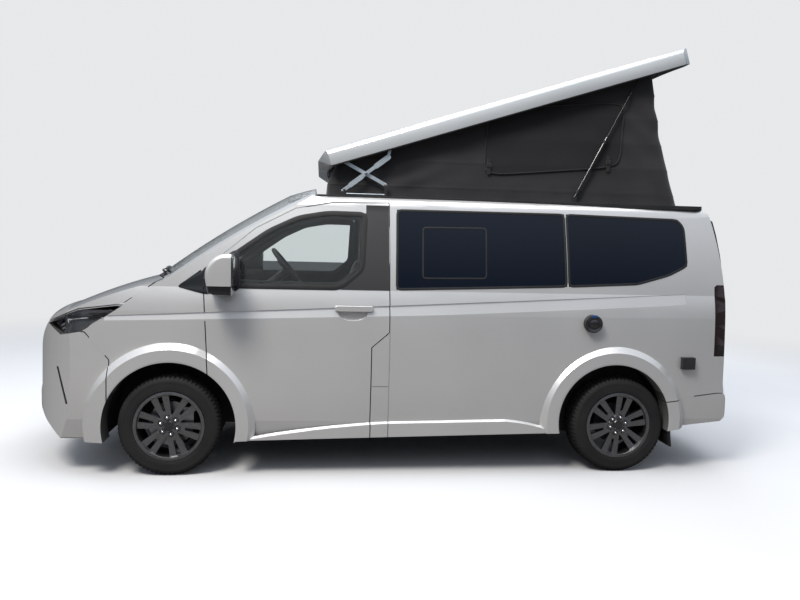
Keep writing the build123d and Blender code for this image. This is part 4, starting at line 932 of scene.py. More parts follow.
@dataclass
class Wheels:
    """Four tyres with tread over their carcass, and the rims with their edges broken, nuts and cap."""

    track_half: float = 0.8675
    hub_height: float = 0.335
    pitches: int = 70
    # where the four columns of one pitch stand, the last two in the groove
    pitch_shares: tuple[float, ...] = (0.0, 0.62, 0.68, 0.95)
    groove: float = 0.0055
    shoulder_groove: float = 0.75
    shoulder: float = 0.330
    tread_lean: float = 0.35
    # the wheel's name, its axle's place and its side
    places: tuple[tuple[str, float, Side], ...] = (
        ("front_left", -1.52, Side.LEFT), ("front_right", -1.52, Side.RIGHT), ("rear_left", 1.58, Side.LEFT),
        ("rear_right", 1.58, Side.RIGHT))
    # (radius, half width, whether tread grooves cut it) from the bead to the middle of the tread
    carcass: tuple[tuple[float, float, bool], ...] = (
        (0.2190, 0.0940, False), (0.2330, 0.0950, False), (0.2365, 0.1040, False), (0.2480, 0.1062, False),
        (0.2500, 0.1050, False), (0.2520, 0.1064, False), (0.2820, 0.1074, False), (0.2900, 0.1066, False),
        (0.2930, 0.1074, False), (0.3080, 0.1050, False), (0.3170, 0.1010, False), (0.3235, 0.0960, True),
        (0.3310, 0.0860, True), (0.3335, 0.0740, True), (0.3342, 0.0580, True), (0.3265, 0.0570, False),
        (0.3265, 0.0480, False), (0.3346, 0.0470, True), (0.3348, 0.0180, True), (0.3270, 0.0170, False),
        (0.3270, 0.0080, False), (0.3350, 0.0070, True))
    # how the rims of each axle stand, in degrees, and the circle of their nuts
    front_turn: float = 12.0
    rear_turn: float = -16.0
    nuts: int = 6
    nut_circle: float = 0.057
    # profile of the gloss black ring round each nut: painted shade of the nut's well
    well: Outline = ((0.021, 0.083), (0.0205, 0.0865), (0.016, 0.087), (0.015, 0.085))
    nut: Outline = ((0.0105, 0.084), (0.0105, 0.099), (0.0085, 0.104), (0.004, 0.107), (0.0, 0.1075))
    cap: Outline = ((0.0335, 0.090), (0.0335, 0.0955), (0.031, 0.098), (0.018, 0.0995), (0.0, 0.100))

    def build(self) -> None:
        """Builds all four wheels."""
        for name, axle, side in self.places:
            centre = Vector((axle, side.value * self.track_half, self.hub_height))
            self.tyre(name, centre, side)
            self.rim(name, centre, side)

    def tyre(self, name: str, centre: Vector, side: Side) -> None:
        """Turns one tyre and cuts its tread.

        Args:
            name: The wheel's place on the van.
            centre: Its middle.
            side: Left or right.
        """
        profile = [(radius, -half, cut) for radius, half, cut in self.carcass]
        profile += [(radius, half, cut) for radius, half, cut in reversed(self.carcass)]
        last = len(profile) - 1
        columns = self.pitches * 4

        def place(across: float, around: float) -> Vector:
            """A point of the tread or wall."""
            radius, width, cut = profile[round(across * last)]
            step = round(around * columns) % columns
            turn = 2 * math.pi * (step // 4 + self.pitch_shares[step % 4]) / self.pitches
            turn += side.value * self.tread_lean * width + (math.pi / self.pitches if abs(width) < 0.05 else 0.0)
            if cut and step % 4 >= 2:
                radius -= self.groove * (self.shoulder_groove if radius < self.shoulder else 1.0)
            return centre + Vector((math.cos(turn) * radius, width, math.sin(turn) * radius))

        tyre = Bench.sheet(f"{name}_tyre", last, columns, place).outward()
        tyre.finish(TYRE, "tyre_rubber", f"wheel_{name}", 25.0, (f"tyre_{name}",))

    def rim(self, name: str, centre: Vector, side: Side) -> None:
        """Breaks the edges of one packed rim and adds domed nuts, each in a gloss black ring of painted shade where
        its well lies.

        Args:
            name: The wheel's place on the van.
            centre: Its middle.
            side: Left or right.
        """
        body = f"wheel_{name}"
        rim = Bench.copy_of(f"{name}_rim", f"rim_{name}").bevel(0.0022, 2, 40.0)
        rim.finish(GRAPHITE, "rim_graphite", body, 30.0, (f"rim_{name}",))
        turn = math.radians((self.front_turn if "front" in name else self.rear_turn) + 30.0)
        well_shades, nuts = [], []
        for angle in (turn + index * math.pi / 3 for index in range(self.nuts)):
            spot = centre + Vector((math.cos(angle) * self.nut_circle, 0.0, math.sin(angle) * self.nut_circle))
            well_shades.append(Bench.lathe(f"{name}_well", self.well, spot, side.out, 20))
            nuts.append(Bench.lathe(f"{name}_nut", self.nut, spot, side.out, 12))
        # the gloss black rings are painted shade of the nut wells
        well_shades[0].join(well_shades[1:]).finish(GLOSS_BLACK, "black_trim", body)
        nuts[0].join(nuts[1:]).finish(CHROME, "rod_chrome", body)
        Bench.lathe(f"{name}_cap", self.cap, centre, side.out, 32).finish(GLOSS_BLACK, "black_trim", body)


@dataclass
class Windows:
    """Rubber frames, films and divisions of the side windows."""

    lean: float = SEAM_LEAN
    door: Outline = (
        (-1.255, 1.268), (-1.255, 1.372), (-1.071, 1.512), (-0.878, 1.650), (-0.681, 1.745), (-0.481, 1.782),
        (-0.223, 1.780), (-0.245, 1.398), (-0.399, 1.268))
    # (height, front x, rear x) of the dark film on the door's rear frame
    film: tuple[tuple[float, float, float], ...] = (
        (1.262, -0.399, -0.0715), (1.392, -0.247, -0.0715), (1.780, -0.225, -0.0715), (1.836, -0.225, -0.0715))
    film_rows: int = 36
    front_glass: Outline = ((-0.026, 1.268), (-0.026, 1.812), (1.158, 1.816), (1.172, 1.309))
    # the same pane in the sliding door at the right, a little shorter
    sliding_glass: Outline = ((-0.026, 1.268), (-0.026, 1.812), (1.120, 1.816), (1.120, 1.308))
    rear_glass: Outline = (
        (1.184, 1.309), (1.170, 1.816), (2.010, 1.804), (2.058, 1.750), (2.072, 1.470), (1.930, 1.400),
        (1.693, 1.334))
    sash: Outline = ((0.150, 1.345), (0.150, 1.700), (0.600, 1.706), (0.600, 1.352))
    sail: Outline = (
        (-1.475, 1.262), (-1.440, 1.292), (-1.225, 1.428), (-1.118, 1.505), (-1.075, 1.518), (-1.060, 1.262),
        (-1.120, 1.225), (-1.300, 1.218))
    # where the sail plate begins and ends on the wing and on the door
    sail_wing: Flat = (-1.50, -1.3045)
    sail_door: Flat = (-1.2985, -1.05)
    door_corner: float = 0.05
    glass_corner: float = 0.035
    sash_corner: float = 0.03
    sail_corner: float = 0.02
    # (move inwards of the outline, width, lift, thickness) of each strip
    door_seal: tuple[float, float, float, float] = (-0.010, 0.034, 0.0, 0.003)
    door_lining: tuple[float, float, float, float] = (-0.004, 0.046, -0.050, 0.012)
    glass_seal: tuple[float, float, float, float] = (-0.004, 0.016, 0.0, 0.0022)
    sash_frame: tuple[float, float, float, float] = (0.0, 0.010, 0.0, 0.0016)
    film_lift: float = 0.0022
    film_thickness: float = 0.0024
    sail_lift: float = 0.0035
    sail_thickness: float = 0.0045

    def build(self) -> None:
        """Builds both sides."""
        for side in Side:
            self.door_frame(side)
            self.pillar(side)
            for part, ends, body in (("wing", self.sail_wing, "root"), ("door", self.sail_door, side.door)):
                self.sail_plate(f"sail_{part}_{side.label}", ends, side).finish(GLOSS_BLACK, "black_trim", body)
            self.body_glass(side)

    def door_frame(self, side: Side) -> None:
        """Lays the seal on the door skin and a lining frame inside.

        Args:
            side: Left or right.
        """
        outline = rounded(self.door, self.door_corner)
        seal = self.strip(f"{side.door}_seal", outline, self.door_seal, side, self.lean)
        seal.finish(SEAL, "black_trim", side.door)
        lining = self.strip(f"{side.door}_lining", outline, self.door_lining, side, self.lean)
        lining.finish(CABIN, "cabin_plastic", side.door)

    def strip(self, name: str, outline: Outline, sizes: Point, side: Side, lean: float = 0.0) -> Bench:
        """Lays a strip that is moved a little from an outline.

        Args:
            name: The piece's name.
            outline: The outline.
            sizes: Move inwards, width, lift and thickness.
            side: Left or right.
            lean: Lean of the seam.

        Returns:
            The strip.
        """
        move, width, lift, rise = sizes
        return band(name, inward(outline, move) if move else outline, width, side, lift, lean, rise)

    def pillar(self, side: Side) -> None:
        """Lays the dark film over the door's rear frame.

        Args:
            side: Left or right.
        """
        rows = self.film

        def place(across: float, up: float) -> Vector:
            """A point of the film, between the two rows that its height lies between."""
            height = rows[0][0] + (rows[-1][0] - rows[0][0]) * up
            above = next(index for index in range(1, len(rows)) if rows[index][0] >= height - 1e-6)
            (z0, x0, rear), (z1, x1, _) = rows[above - 1], rows[above]
            front = x0 + (x1 - x0) * (height - z0) / (z1 - z0)
            return on_flank(front + (rear - front) * across, height, side, self.film_lift, self.lean)

        film = Bench.sheet(f"pillar_film_{side.label}", 8, self.film_rows, place).facing(side.out)
        film.thicken(self.film_thickness).bevel(0.0006, 1).finish(PILLAR_GREY, "black_trim", side.door)

    def sail_plate(self, name: str, ends: Flat, side: Side) -> Bench:
        """Models the black plate before the door window between two places along the van.

        Args:
            name: The piece's name.
            ends: Its front and its rear end.
            side: Left or right.

        Returns:
            The plate.
        """
        fine = rounded(self.sail, self.sail_corner, 3)
        first = max(ends[0], min(x for x, _ in fine) + 0.001)
        last = min(ends[1], max(x for x, _ in fine) - 0.001)

        def place(along: float, up: float) -> Vector:
            """A point between the outline's lower and upper line."""
            x = first + (last - first) * along
            heights = [z0 + (z1 - z0) * (x - x0) / (x1 - x0) for (x0, z0), (x1, z1) in zip(fine, fine[1:] + fine[:1])
                       if (x0 - x) * (x1 - x) <= 0 and x0 != x1]
            return on_flank(x, min(heights) + (max(heights) - min(heights)) * up, side, self.sail_lift)

        plate = Bench.sheet(name, 16, 6, place).facing(side.out)
        return plate.thicken(self.sail_thickness).bevel(0.001, 2, 50.0)

    def body_glass(self, side: Side) -> None:
        """Lays seals round the fixed panes, and the frame of the sliding sash.

        Args:
            side: Left or right.
        """
        front = self.sliding_glass if side is Side.RIGHT else self.front_glass
        for name, glass in (("rear", self.rear_glass), ("front", front)):
            outline = rounded(glass, self.glass_corner)
            self.strip(f"{name}_seal_{side.label}", outline, self.glass_seal, side).finish(SEAL, "black_trim")
        sash = rounded(self.sash, self.sash_corner)
        self.strip(f"sash_{side.label}", sash, self.sash_frame, side).finish(SEAL, "black_trim")


@dataclass
class Lamps:
    """Headlamps and tail lamps: a clear skin over a modelled tray."""

    wall: float = 0.003
    head_depth: float = 0.040
    tail_depth: float = 0.022
    # the lamp's inner end, and how its face falls back from the nose with its share of the width
    inner_half: float = 0.640
    nose_gap: float = 0.045
    fall: float = 0.30
    projector_share: float = 0.62
    projector_height: float = 1.012
    projector_depth: float = 0.020
    projector_way: Point = (-0.93, 0.36, 0.05)
    ring: Outline = ((0.030, -0.012), (0.034, 0.004), (0.032, 0.007), (0.026, 0.004), (0.025, -0.002))
    ball: Outline = ((0.025, -0.002), (0.022, 0.006), (0.016, 0.011), (0.008, 0.0135), (0.0, 0.014))
    strip_shares: tuple[float, ...] = (0.12, 0.35, 0.6, 0.82)
    strip_height: float = 1.045
    strip_rise: float = 0.035
    strip_depth: float = 0.012
    strip_radius: float = 0.007

    def build(self) -> None:
        """Builds all four lamps."""
        self.lens("headlamps", LENS, "lamp_glass")
        self.tray("headlamps", HOUSING, self.head_depth)
        self.lens("tail_lamps", SMOKED, "tail_red")
        self.tray("tail_lamps", RED_TRAY, self.tail_depth)
        for side in Side:
            self.projector(side)
            self.strip(side)

    def skin(self, name: str, node: str) -> Bench:
        """Copies the outer faces of a packed pair of lamps.

        Args:
            name: The copy's name.
            node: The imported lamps.

        Returns:
            The open outer skin of both lamps.
        """
        front = -1.0 if node == "headlamps" else 1.0

        def outer(face: Face) -> bool:
            """Whether a face looks ahead or outwards and not up or down."""
            outwards = face.normal.y * math.copysign(1.0, face.center.y)
            ahead = face.normal.x * front
            return abs(face.normal.z) < 0.75 and (outwards > 0.3 or ahead > 0.12 and outwards > -0.2)

        return Bench.copy_of(name, node).keep(outer)

    def lens(self, node: str, finish: Finish, slot: str) -> None:
        """Makes the clear skins of a pair of lamps.

        Args:
            node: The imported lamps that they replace.
            finish: Their finish.
            slot: Their slot.
        """
        self.skin(f"{node}_lens", node).thicken(self.wall).finish(finish, slot, smooth=40.0, instead=(node,))

    def tray(self, node: str, finish: Finish, depth: float) -> None:
        """Makes the open trays behind a pair of lenses.

        Args:
            node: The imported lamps.
            finish: The trays' finish.
            depth: How deep they are.
        """
        tray = self.skin(f"{node}_tray", node)
        skin_faces = len(tray.piece.data.polygons)
        tray.thicken(depth).keep(lambda face: face.index >= skin_faces).edit(lambda: bpy.ops.mesh.flip_normals())
        tray.finish(finish, "black_trim", smooth=40.0)

    def spot(self, share: float, side: Side, height: float, depth: float) -> Vector:
        """A place behind the headlamp's lens.

        Args:
            share: Its share of the lamp's width, from the inner end.
            side: Left or right.
            height: Its height.
            depth: How far behind the lens it is.

        Returns:
            The place.
        """
        low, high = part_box("headlamps")
        half = self.inner_half + (high[1] - self.inner_half) * share
        return Vector((low[0] + self.nose_gap + self.fall * share ** 2 + depth, side.value * half, height))

    def projector(self, side: Side) -> None:
        """Turns the projector of one headlamp.

        Args:
            side: Left or right.
        """
        spot = self.spot(self.projector_share, side, self.projector_height, self.projector_depth)
        ahead, across, up = self.projector_way
        out = (ahead, side.value * across, up)
        Bench.lathe(f"projector_ring_{side.label}", self.ring, spot, out, 32).finish(CHROME, "rod_chrome")
        Bench.lathe(f"projector_ball_{side.label}", self.ball, spot, out, 32).finish(GLOSS_BLACK, "black_trim")

    def strip(self, side: Side) -> None:
        """Bends the bright strip that runs over the projector.

        Args:
            side: Left or right.
        """
        points = [self.spot(share, side, self.strip_height + self.strip_rise * share, self.strip_depth)
                  for share in self.strip_shares]
        strip = Bench.rope(f"lamp_strip_{side.label}", points, self.strip_radius, smooth=True)
        strip.finish(CHROME, "rod_chrome")


@dataclass
class Mirrors:
    """Mirror heads with rounded edges, a black rim and the glass in it."""

    glass_x: float = -1.0895
    rim: Outline = ((1.062, 1.292), (1.062, 1.484), (1.222, 1.480), (1.234, 1.440), (1.232, 1.296))
    corner: float = 0.022
    rim_width: float = 0.008
    rim_depth: float = 0.008
    rim_stand: float = 0.004
    glass_depth: float = 0.0055

    def build(self) -> None:
        """Builds both mirrors."""
        for side in Side:
            node = f"mirror_{side.label}"
            head = Bench.copy_of(f"{node}_head", node).bevel(0.006, 3, 40.0)
            head.finish(MIRROR_SHELL, "body_paint", side.door, 40.0, (node,))
            outline = rounded(self.rim, self.corner)
            rim = self.plate(f"{node}_rim", outline, self.glass_x - self.rim_stand, self.rim_depth, side)
            rim.bevel(0.002, 2).finish(GLOSS_BLACK, "black_trim", side.door)
            glass = self.plate(f"{node}_glass", inward(outline, self.rim_width), self.glass_x, self.glass_depth, side)
            glass.bevel(0.001, 2).finish(MIRROR_GLASS, "rod_chrome", side.door)

    def plate(self, name: str, outline: Outline, x: float, depth: float, side: Side) -> Bench:
        """Lays a plate across the van.

        Args:
            name: The piece's name.
            outline: Its outline as (y, z) at the right side.
            x: Its front face's place.
            depth: Its thickness.
            side: Left or right.

        Returns:
            The plate.
        """
        return Bench.plate(name, [(x, side.value * y, z) for y, z in outline], (depth, 0, 0))


@dataclass
class Lid:
    """The raised lid with its edges broken, its rubber seal, the pins of its links and the straps of its struts."""

    pin: Flat = (-0.397, 2.142)
    half: float = 0.800
    edge: float = -0.018
    # (x, z, place across, body) of each pin's head
    pins: tuple[tuple[float, float, float, str], ...] = (
        (-0.397, 1.934, 0.765, "lift_bars"), (-0.236, 2.0585, 0.765, "lift_bars"),
        (-0.397, 2.142, 0.748, "cross_bars"), (-0.094, 1.985, 0.748, "cross_bars"))
    dome: Outline = ((0.011, -0.003), (0.011, 0.002), (0.009, 0.005), (0.005, 0.0065), (0.0, 0.007))
    rail_height: float = 1.917
    rail_half: float = 0.7705
    rail_ends: Flat = (-0.37, -0.105)
    rail_radius: float = 0.004
    strut_foot: Flat = (1.266, 1.934)
    strut_lean: float = math.radians(62.8902)
    strut_half: float = 0.732
    strap_places: Flat = (0.06, 0.46)
    strap: Outline = ((0.0125, -0.012), (0.0145, -0.012), (0.0145, 0.012), (0.0125, 0.012))
    seal_start: float = -0.455
    seal_length: float = 2.49
    seal_high: float = 0.006
    seal_wide: float = 0.005

    def build(self) -> None:
        """Builds what rides on the lid and on its links."""
        lid = Bench.copy_of("lid", "roof_lid").bevel(0.0035, 2, 32.0)
        lid.finish(LID, "lid_paint", "roof_lid", 45.0, ("roof_lid",))
        for side in Side:
            self.seal(side)
            points = [(x, side.value * self.rail_half, self.rail_height) for x in self.rail_ends]
            Bench.rope(f"link_rail_{side.label}", points, self.rail_radius).finish(LINK, "link_bar")
            for index, (x, z, across, body) in enumerate(self.pins):
                spot = Vector((x, side.value * across, z))
                head = Bench.lathe(f"link_pin_{index}_{side.label}", self.dome, spot, side.out, 20)
                head.finish(STEEL, "link_bar", body)
            self.straps(side)

    def straps(self, side: Side) -> None:
        """Winds two bands round the tube of the gas strut.

        Args:
            side: Left or right.
        """
        along = Vector((math.cos(self.strut_lean), 0.0, math.sin(self.strut_lean)))
        foot = Vector((self.strut_foot[0], side.value * self.strut_half, self.strut_foot[1]))
        bands = [Bench.lathe(f"strut_bands_{side.label}", self.strap, foot + along * reach, along, 20)
                 for reach in self.strap_places]
        bands[0].join(bands[1:]).finish(SEAL, "black_trim", "strut_tubes")

    def seal(self, side: Side) -> None:
        """Lays the black seal along the lid's lower edge.

        Args:
            side: Left or right.
        """
        def place(along: float, around: float) -> Vector:
            """A point of a flat round bar under the lid's edge."""
            x = self.seal_start + self.seal_length * along
            z = self.pin[1] + (x - self.pin[0]) * LID_SLOPE + self.edge
            turn = 2 * math.pi * (around if around < TURN_END else 0.0)
            across = self.half - self.seal_high + self.seal_wide * math.cos(turn)
            return Vector((x - self.seal_high * math.sin(turn) * LID_SLOPE, side.value * across,
                           z + self.seal_high * math.sin(turn)))

        Bench.sheet(f"lid_seal_{side.label}", 40, 8, place).outward().finish(SEAL, "black_trim", "roof_lid")


@dataclass
class Tent:
    """The cloth walls between roof and lid, with seams, window flaps and straps."""

    half: float = 0.704
    length: float = 2.5
    foot: float = 1.905
    # the lid's front pin, with the height at which the cloth meets the lid there
    pin: Flat = (-0.397, 2.156)
    head_gap: float = 0.004
    corner: float = 0.09
    column: float = 0.025
    # x of the foot and of the head, at the nose and at the rear
    low: Flat = (-0.500, 2.086)
    high: Flat = (-0.430, 1.846)
    rear_bow: float = 0.028
    nose_bow: float = 0.022
    seams: tuple[float, ...] = (1.985, 2.165, 2.345, 2.525, 2.705)
    seam_rise: float = 0.0030
    seam_width: float = 0.006
    seam_pitch: float = 0.18
    sag_depth: float = 0.0035
    # (height, waves along, waves up) of the soft creases all over
    soft_creases: tuple[tuple[float, float, float], ...] = ((0.0022, 7.0, 9.0), (0.0014, 19.0, -13.0))
    # (x, z, reach, waves along, waves up) of the deeper creases at the rear and the front
    deep_creases: tuple[tuple[float, float, float, float, float], ...] = (
        (1.80, 2.62, 0.09, 26.0, 31.0), (0.05, 1.98, 0.05, -17.0, 42.0))
    crease_depth: float = 0.0065
    flap_centre: Flat = (1.115, 2.360)
    flap_half: Flat = (0.500, 0.232)
    # how much the flap narrows to its corners, along and up, and its lean along and up
    flap_round: Flat = (0.055, 0.10)
    flap_lean: Flat = (0.02, 0.045)
    flap_lift: float = 0.004
    flap_thickness: float = 0.003
    # how much of the cloth's folds the flap takes on
    flap_folds: float = 0.6
    piping_lift: float = 0.0065
    piping_radius: float = 0.0042
    piping_steps: int = 24
    strap_places: Outline = ((0.640, 2.150), (1.520, 2.200))
    strap_lift: float = 0.009
    # (half width, reach down, reach up, thickness)
    strap: tuple[float, float, float, float] = (0.012, 0.06, 0.05, 0.002)
    buckle: tuple[float, float, float, float] = (0.018, 0.012, 0.018, 0.006)
    rows: int = 64

    def build(self) -> None:
        """Builds the walls, the flaps and the straps."""
        walls = self.walls()
        trims = [make(side) for side in Side for make in (self.flap, self.piping, self.straps)]
        for piece in (walls, *trims):
            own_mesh(piece)

    def wall(self, run: float, across: float, up: float) -> Vector:
        """A point of the stretched cloth before its folds.

        Args:
            run: Share of the tent's length, from 0 at the nose to 1.
            across: Place across the van.
            up: Share of the height.

        Returns:
            The point.
        """
        foot_x = self.low[0] + (self.low[1] - self.low[0]) * run
        head_x = self.high[0] + (self.high[1] - self.high[0]) * run
        top = self.pin[1] + (head_x - self.pin[0]) * LID_SLOPE - self.head_gap
        middle = math.sin(math.pi * up)
        bow = -self.rear_bow * middle * run ** 6 - self.nose_bow * middle * (1 - run) ** 6
        return Vector((foot_x + (head_x - foot_x) * up + bow, across, self.foot + (top - self.foot) * up))

    def fold(self, x: float, y: float, z: float, up: float) -> float:
        """How far the cloth stands out at one place: seams, sag between them and creases.

        Args:
            x: Place along the van.
            y: Place across.
            z: Height.
            up: Share of the wall's height.

        Returns:
            The distance from the stretched wall.
        """
        seam = self.seam_rise * math.exp(-(min(abs(z - seam) for seam in self.seams) / self.seam_width) ** 2)
        sag = -self.sag_depth * (1 - math.cos(2 * math.pi * (z - self.seams[0]) / self.seam_pitch)) / 2
        (first, along_1, up_1), (second, along_2, up_2) = self.soft_creases
        crease = first * math.sin(along_1 * x + up_1 * z) + second * math.sin(along_2 * x + up_2 * z + y)
        for middle_x, middle_z, reach, waves_x, waves_z in self.deep_creases:
            near = math.exp(-((x - middle_x) ** 2 + (z - middle_z) ** 2) / reach)
            crease += self.crease_depth * near * math.sin(waves_x * x + waves_z * z)
        return seam + (sag + crease) * math.sin(math.pi * min(max(up, 0.0), 1.0))

    def walls(self) -> bpy.types.Object:
        """Lays the cloth all round.

        Returns:
            The walls.
        """
        corners = ((0.0, -self.half), (self.length, -self.half), (self.length, self.half), (0.0, self.half))
        plan = divided(rounded(corners, self.corner, 4), self.column)
        count = len(plan)
        ways = []
        for index in range(count):
            tangent = Vector(plan[(index + 1) % count]) - Vector(plan[index - 1])
            ways.append(Vector((tangent.y, -tangent.x, 0.0)).normalized())

        def place(around: float, up: float) -> Vector:
            """A point of the folded cloth."""
            index = round(around * count) % count
            run, across = plan[index]
            spot = self.wall(run / self.length, across, up)
            return spot + ways[index] * self.fold(*spot, up)

        cloth = Bench.sheet("tent_walls", count, self.rows, place).outward()
        return cloth.finish(TENT, "tent_cloth", "root", 60.0, ("tent",))

    def flap_point(self, side: Side, along: float, up: float, lift: float) -> Vector:
        """A point of the window flap, whose corners are round.

        Args:
            side: Left or right.
            along: Share of its length.
            up: Share of its height.
            lift: Distance from the cloth.

        Returns:
            The point.
        """
        a, b = 2 * along - 1, 2 * up - 1
        x = (self.flap_centre[0] + self.flap_half[0] * a * (1 - self.flap_round[0] * b ** 8)
             + self.flap_lean[0] * (up - 0.5))
        z = self.flap_centre[1] + self.flap_half[1] * b * (1 - self.flap_round[1] * a ** 8) + self.flap_lean[1] * a
        out = self.half + self.fold(x, 0.0, z, 0.5) * self.flap_folds + lift
        return Vector((x, side.value * out, z))

    def flap(self, side: Side) -> bpy.types.Object:
        """Lays the darker window flap on one side wall.

        Args:
            side: Left or right.

        Returns:
            The flap.
        """
        flap = Bench.sheet(f"window_flap_{side.label}", 60, 28,
                           lambda along, up: self.flap_point(side, along, up, self.flap_lift))
        return flap.facing(side.out).thicken(self.flap_thickness).finish(TENT_FLAP, "tent_cloth", "root", 60.0)

    def piping(self, side: Side) -> bpy.types.Object:
        """Sews a cord round the window flap.

        Args:
            side: Left or right.

        Returns:
            The cord.
        """
        corners = ((0, 0), (1, 0), (1, 1), (0, 1), (0, 0))
        points = []
        for (along, up), (next_along, next_up) in zip(corners, corners[1:]):
            for share in (step / self.piping_steps for step in range(self.piping_steps)):
                points.append(self.flap_point(side, along + (next_along - along) * share, up + (next_up - up) * share,
                                              self.piping_lift))
        cord = Bench.rope(f"flap_piping_{side.label}", points, self.piping_radius, closed=True)
        return cord.finish(WEBBING, "tent_cloth")

    def straps(self, side: Side) -> bpy.types.Object:
        """Hangs two straps with buckles beside the window flap.

        Args:
            side: Left or right.

        Returns:
            The joined straps.
        """
        out = side.value * (self.half + self.strap_lift)
        parts = []
        for x, z in self.strap_places:
            for half, down, up, thick in (self.strap, self.buckle):
                outline = ((x - half, out, z - down), (x + half, out, z - down), (x + half, out, z + up),
                           (x - half, out, z + up))
                parts.append(Bench.plate(f"straps_{side.label}", outline, (0.0, side.value * thick, 0.0)))
            parts[-1].bevel(0.002)
        return parts[0].join(parts[1:]).finish(WEBBING, "tent_cloth")


@dataclass
class Fittings:
    """Small pieces on the skin: the filler cap's ring and tab, and the dark edges of the tailgate."""

    cap: Flat = (1.350, 1.060)
    cap_face: float = 1.022
    ring: Outline = (
        (0.058, -0.003), (0.058, 0.004), (0.052, 0.006), (0.046, 0.002), (0.030, 0.001), (0.024, 0.005), (0.0, 0.006))
    tab: Outline = ((-0.020, 0.044), (0.020, 0.044), (0.016, 0.062), (-0.016, 0.062))
    tab_sink: float = 0.002
    tab_depth: float = 0.005
    edge: Outline = (
        (2.270, 1.812), (2.325, 1.806), (2.362, 1.700), (2.400, 1.560), (2.418, 1.470), (2.380, 1.462),
        (2.345, 1.560), (2.305, 1.700))
    edge_half: float = 0.742
    edge_corner: float = 0.012
    edge_width: float = 0.028

    def build(self) -> None:
        """Builds the fittings of both sides."""
        for side in Side:
            outline = [(x, side.value * self.edge_half, z) for x, z in rounded(self.edge, self.edge_corner, 3)]
            strip = Bench.plate(f"tailgate_edge_{side.label}", outline, (0.0, -side.value * self.edge_width, 0.0))
            strip.bevel(0.004, 2, 50.0).finish(GLOSS_BLACK, "black_trim", "tailgate")
        self.filler_cap()

    def filler_cap(self) -> None:
        """Turns the ring on the filler cap and adds its blue tab."""
        x, z = self.cap
        ring = Bench.lathe("filler_ring", self.ring, (x, -self.cap_face, z), Side.LEFT.out, 40)
        ring.finish(GLOSS_BLACK, "black_trim")
        face = [(x + along, -self.cap_face - self.tab_sink, z + up) for along, up in self.tab]
        Bench.plate("filler_tab", face, (0.0, -self.tab_depth, 0.0)).bevel(0.0015).finish(BLUE, "black_trim")


@dataclass
class Seats:
    """Two front seats and the rear bench: padded cushions and backs, the front ones on plastic feet."""

    # (centre x, centre z, length, height, width, lean in degrees) of each pad
    front: tuple[tuple[float, float, float, float, float, float], ...] = (
        (-0.510, 0.870, 0.405, 0.120, 0.315, -3.0), (-0.250, 1.150, 0.115, 0.560, 0.315, 13.5),
        (-0.130, 1.535, 0.080, 0.165, 0.210, 6.0))
    bench: tuple[tuple[float, float, float, float, float, float], ...] = (
        (1.490, 0.895, 0.540, 0.130, 0.955, -3.0), (1.850, 1.170, 0.200, 0.560, 0.955, 13.5))
    half: float = 0.40
    pad_edge: float = 0.028
    foot_edge: float = 0.012
    front_cell: float = 0.011
    bench_cell: float = 0.017
    bench_middle: float = 0.185
    foot_middle: Flat = (-0.46, 0.662)
    foot_size: tuple[float, float, float] = (0.42, 0.30, 0.282)
    # how the stuffing's cloth resists, and the pressure in it
    quality: int = 6
    stretch_stiffness: float = 25.0
    shear_stiffness: float = 15.0
    bending_stiffness: float = 2.0
    pressure: float = 2.0
    last_frame: int = 10

    def build(self) -> None:
        """Builds the seats and the bench."""
        for side in Side:
            middle = side.value * self.half
            instead = ("front_seats",) if side is Side.LEFT else ()
            self.upholster(f"seat_{side.label}", self.front, middle, self.front_cell, instead)
            spot = (self.foot_middle[0], middle, self.foot_middle[1])
            foot = self.block(f"seat_foot_{side.label}", spot, self.foot_size)
            foot.bevel(self.foot_edge, 3).finish(CABIN, "cabin_plastic")
        self.upholster("bench_pads", self.bench, self.bench_middle, self.bench_cell, ())

    def upholster(self, name: str, pads: Iterable[Point], middle: float, cell: float, instead: Sequence[str]) -> None:
        """Makes the padded pieces of one seat.

        Args:
            name: The seat's name.
            pads: Its pads, from the class's tables.
            middle: Its place across the van.
            cell: Size of the even faces before the cloth is filled.
            instead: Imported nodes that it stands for.
        """
        parts = []
        for x, z, length, height, width, lean in pads:
            parts.append(self.block(name, (x, middle, z), (length, width, height), lean).bevel(self.pad_edge, 4))
        seat = parts[0].join(parts[1:])
        self.stuff(seat, cell)
        seat.finish(SEAT, "seat_cloth", "root", 60.0, instead)

    def block(self, name: str, centre: Point, size: Point, lean: float = 0.0) -> Bench:
        """Adds a block and shapes it in edit mode.

        Args:
            name: Its name.
            centre: Its middle.
            size: Its length, width and height.
            lean: Turn about the van's cross axis, in degrees.

        Returns:
            The block.
        """
        clear_selection()
        bpy.ops.mesh.primitive_cube_add(size=1.0)
        bench = Bench(name).edit(lambda: bpy.ops.transform.resize(value=tuple(size)))
        turn = Matrix.Rotation(math.radians(lean), 4, "Y")
        bench.piece.data.transform(Matrix.Translation(centre) @ turn)
        return bench

    def stuff(self, seat: Bench, cell: float) -> None:
        """Fills the pads: even faces, then pressure from inside, then one subdivision.

        Args:
            seat: The joined pads.
            cell: Size of the even faces.
        """
        seat.modify("REMESH", mode="VOXEL", voxel_size=cell)
        cloth = seat.piece.modifiers.new("stuffing", "CLOTH")
        settings = cloth.settings
        settings.quality = self.quality
        settings.tension_stiffness = settings.compression_stiffness = self.stretch_stiffness
        settings.shear_stiffness = self.shear_stiffness
        settings.bending_stiffness = self.bending_stiffness
        settings.use_pressure = True
        settings.uniform_pressure_force = self.pressure
        settings.effector_weights.gravity = 0.0
        scene = bpy.context.scene
        cloth.point_cache.frame_start = scene.frame_start = 1
        cloth.point_cache.frame_end = scene.frame_end = self.last_frame
        for number in range(1, self.last_frame + 1):
            scene.frame_set(number)
        seat.activate()
        bpy.ops.object.modifier_apply(modifier=cloth.name)
        scene.frame_set(1)
        seat.modify("SUBSURF", levels=1, render_levels=1)


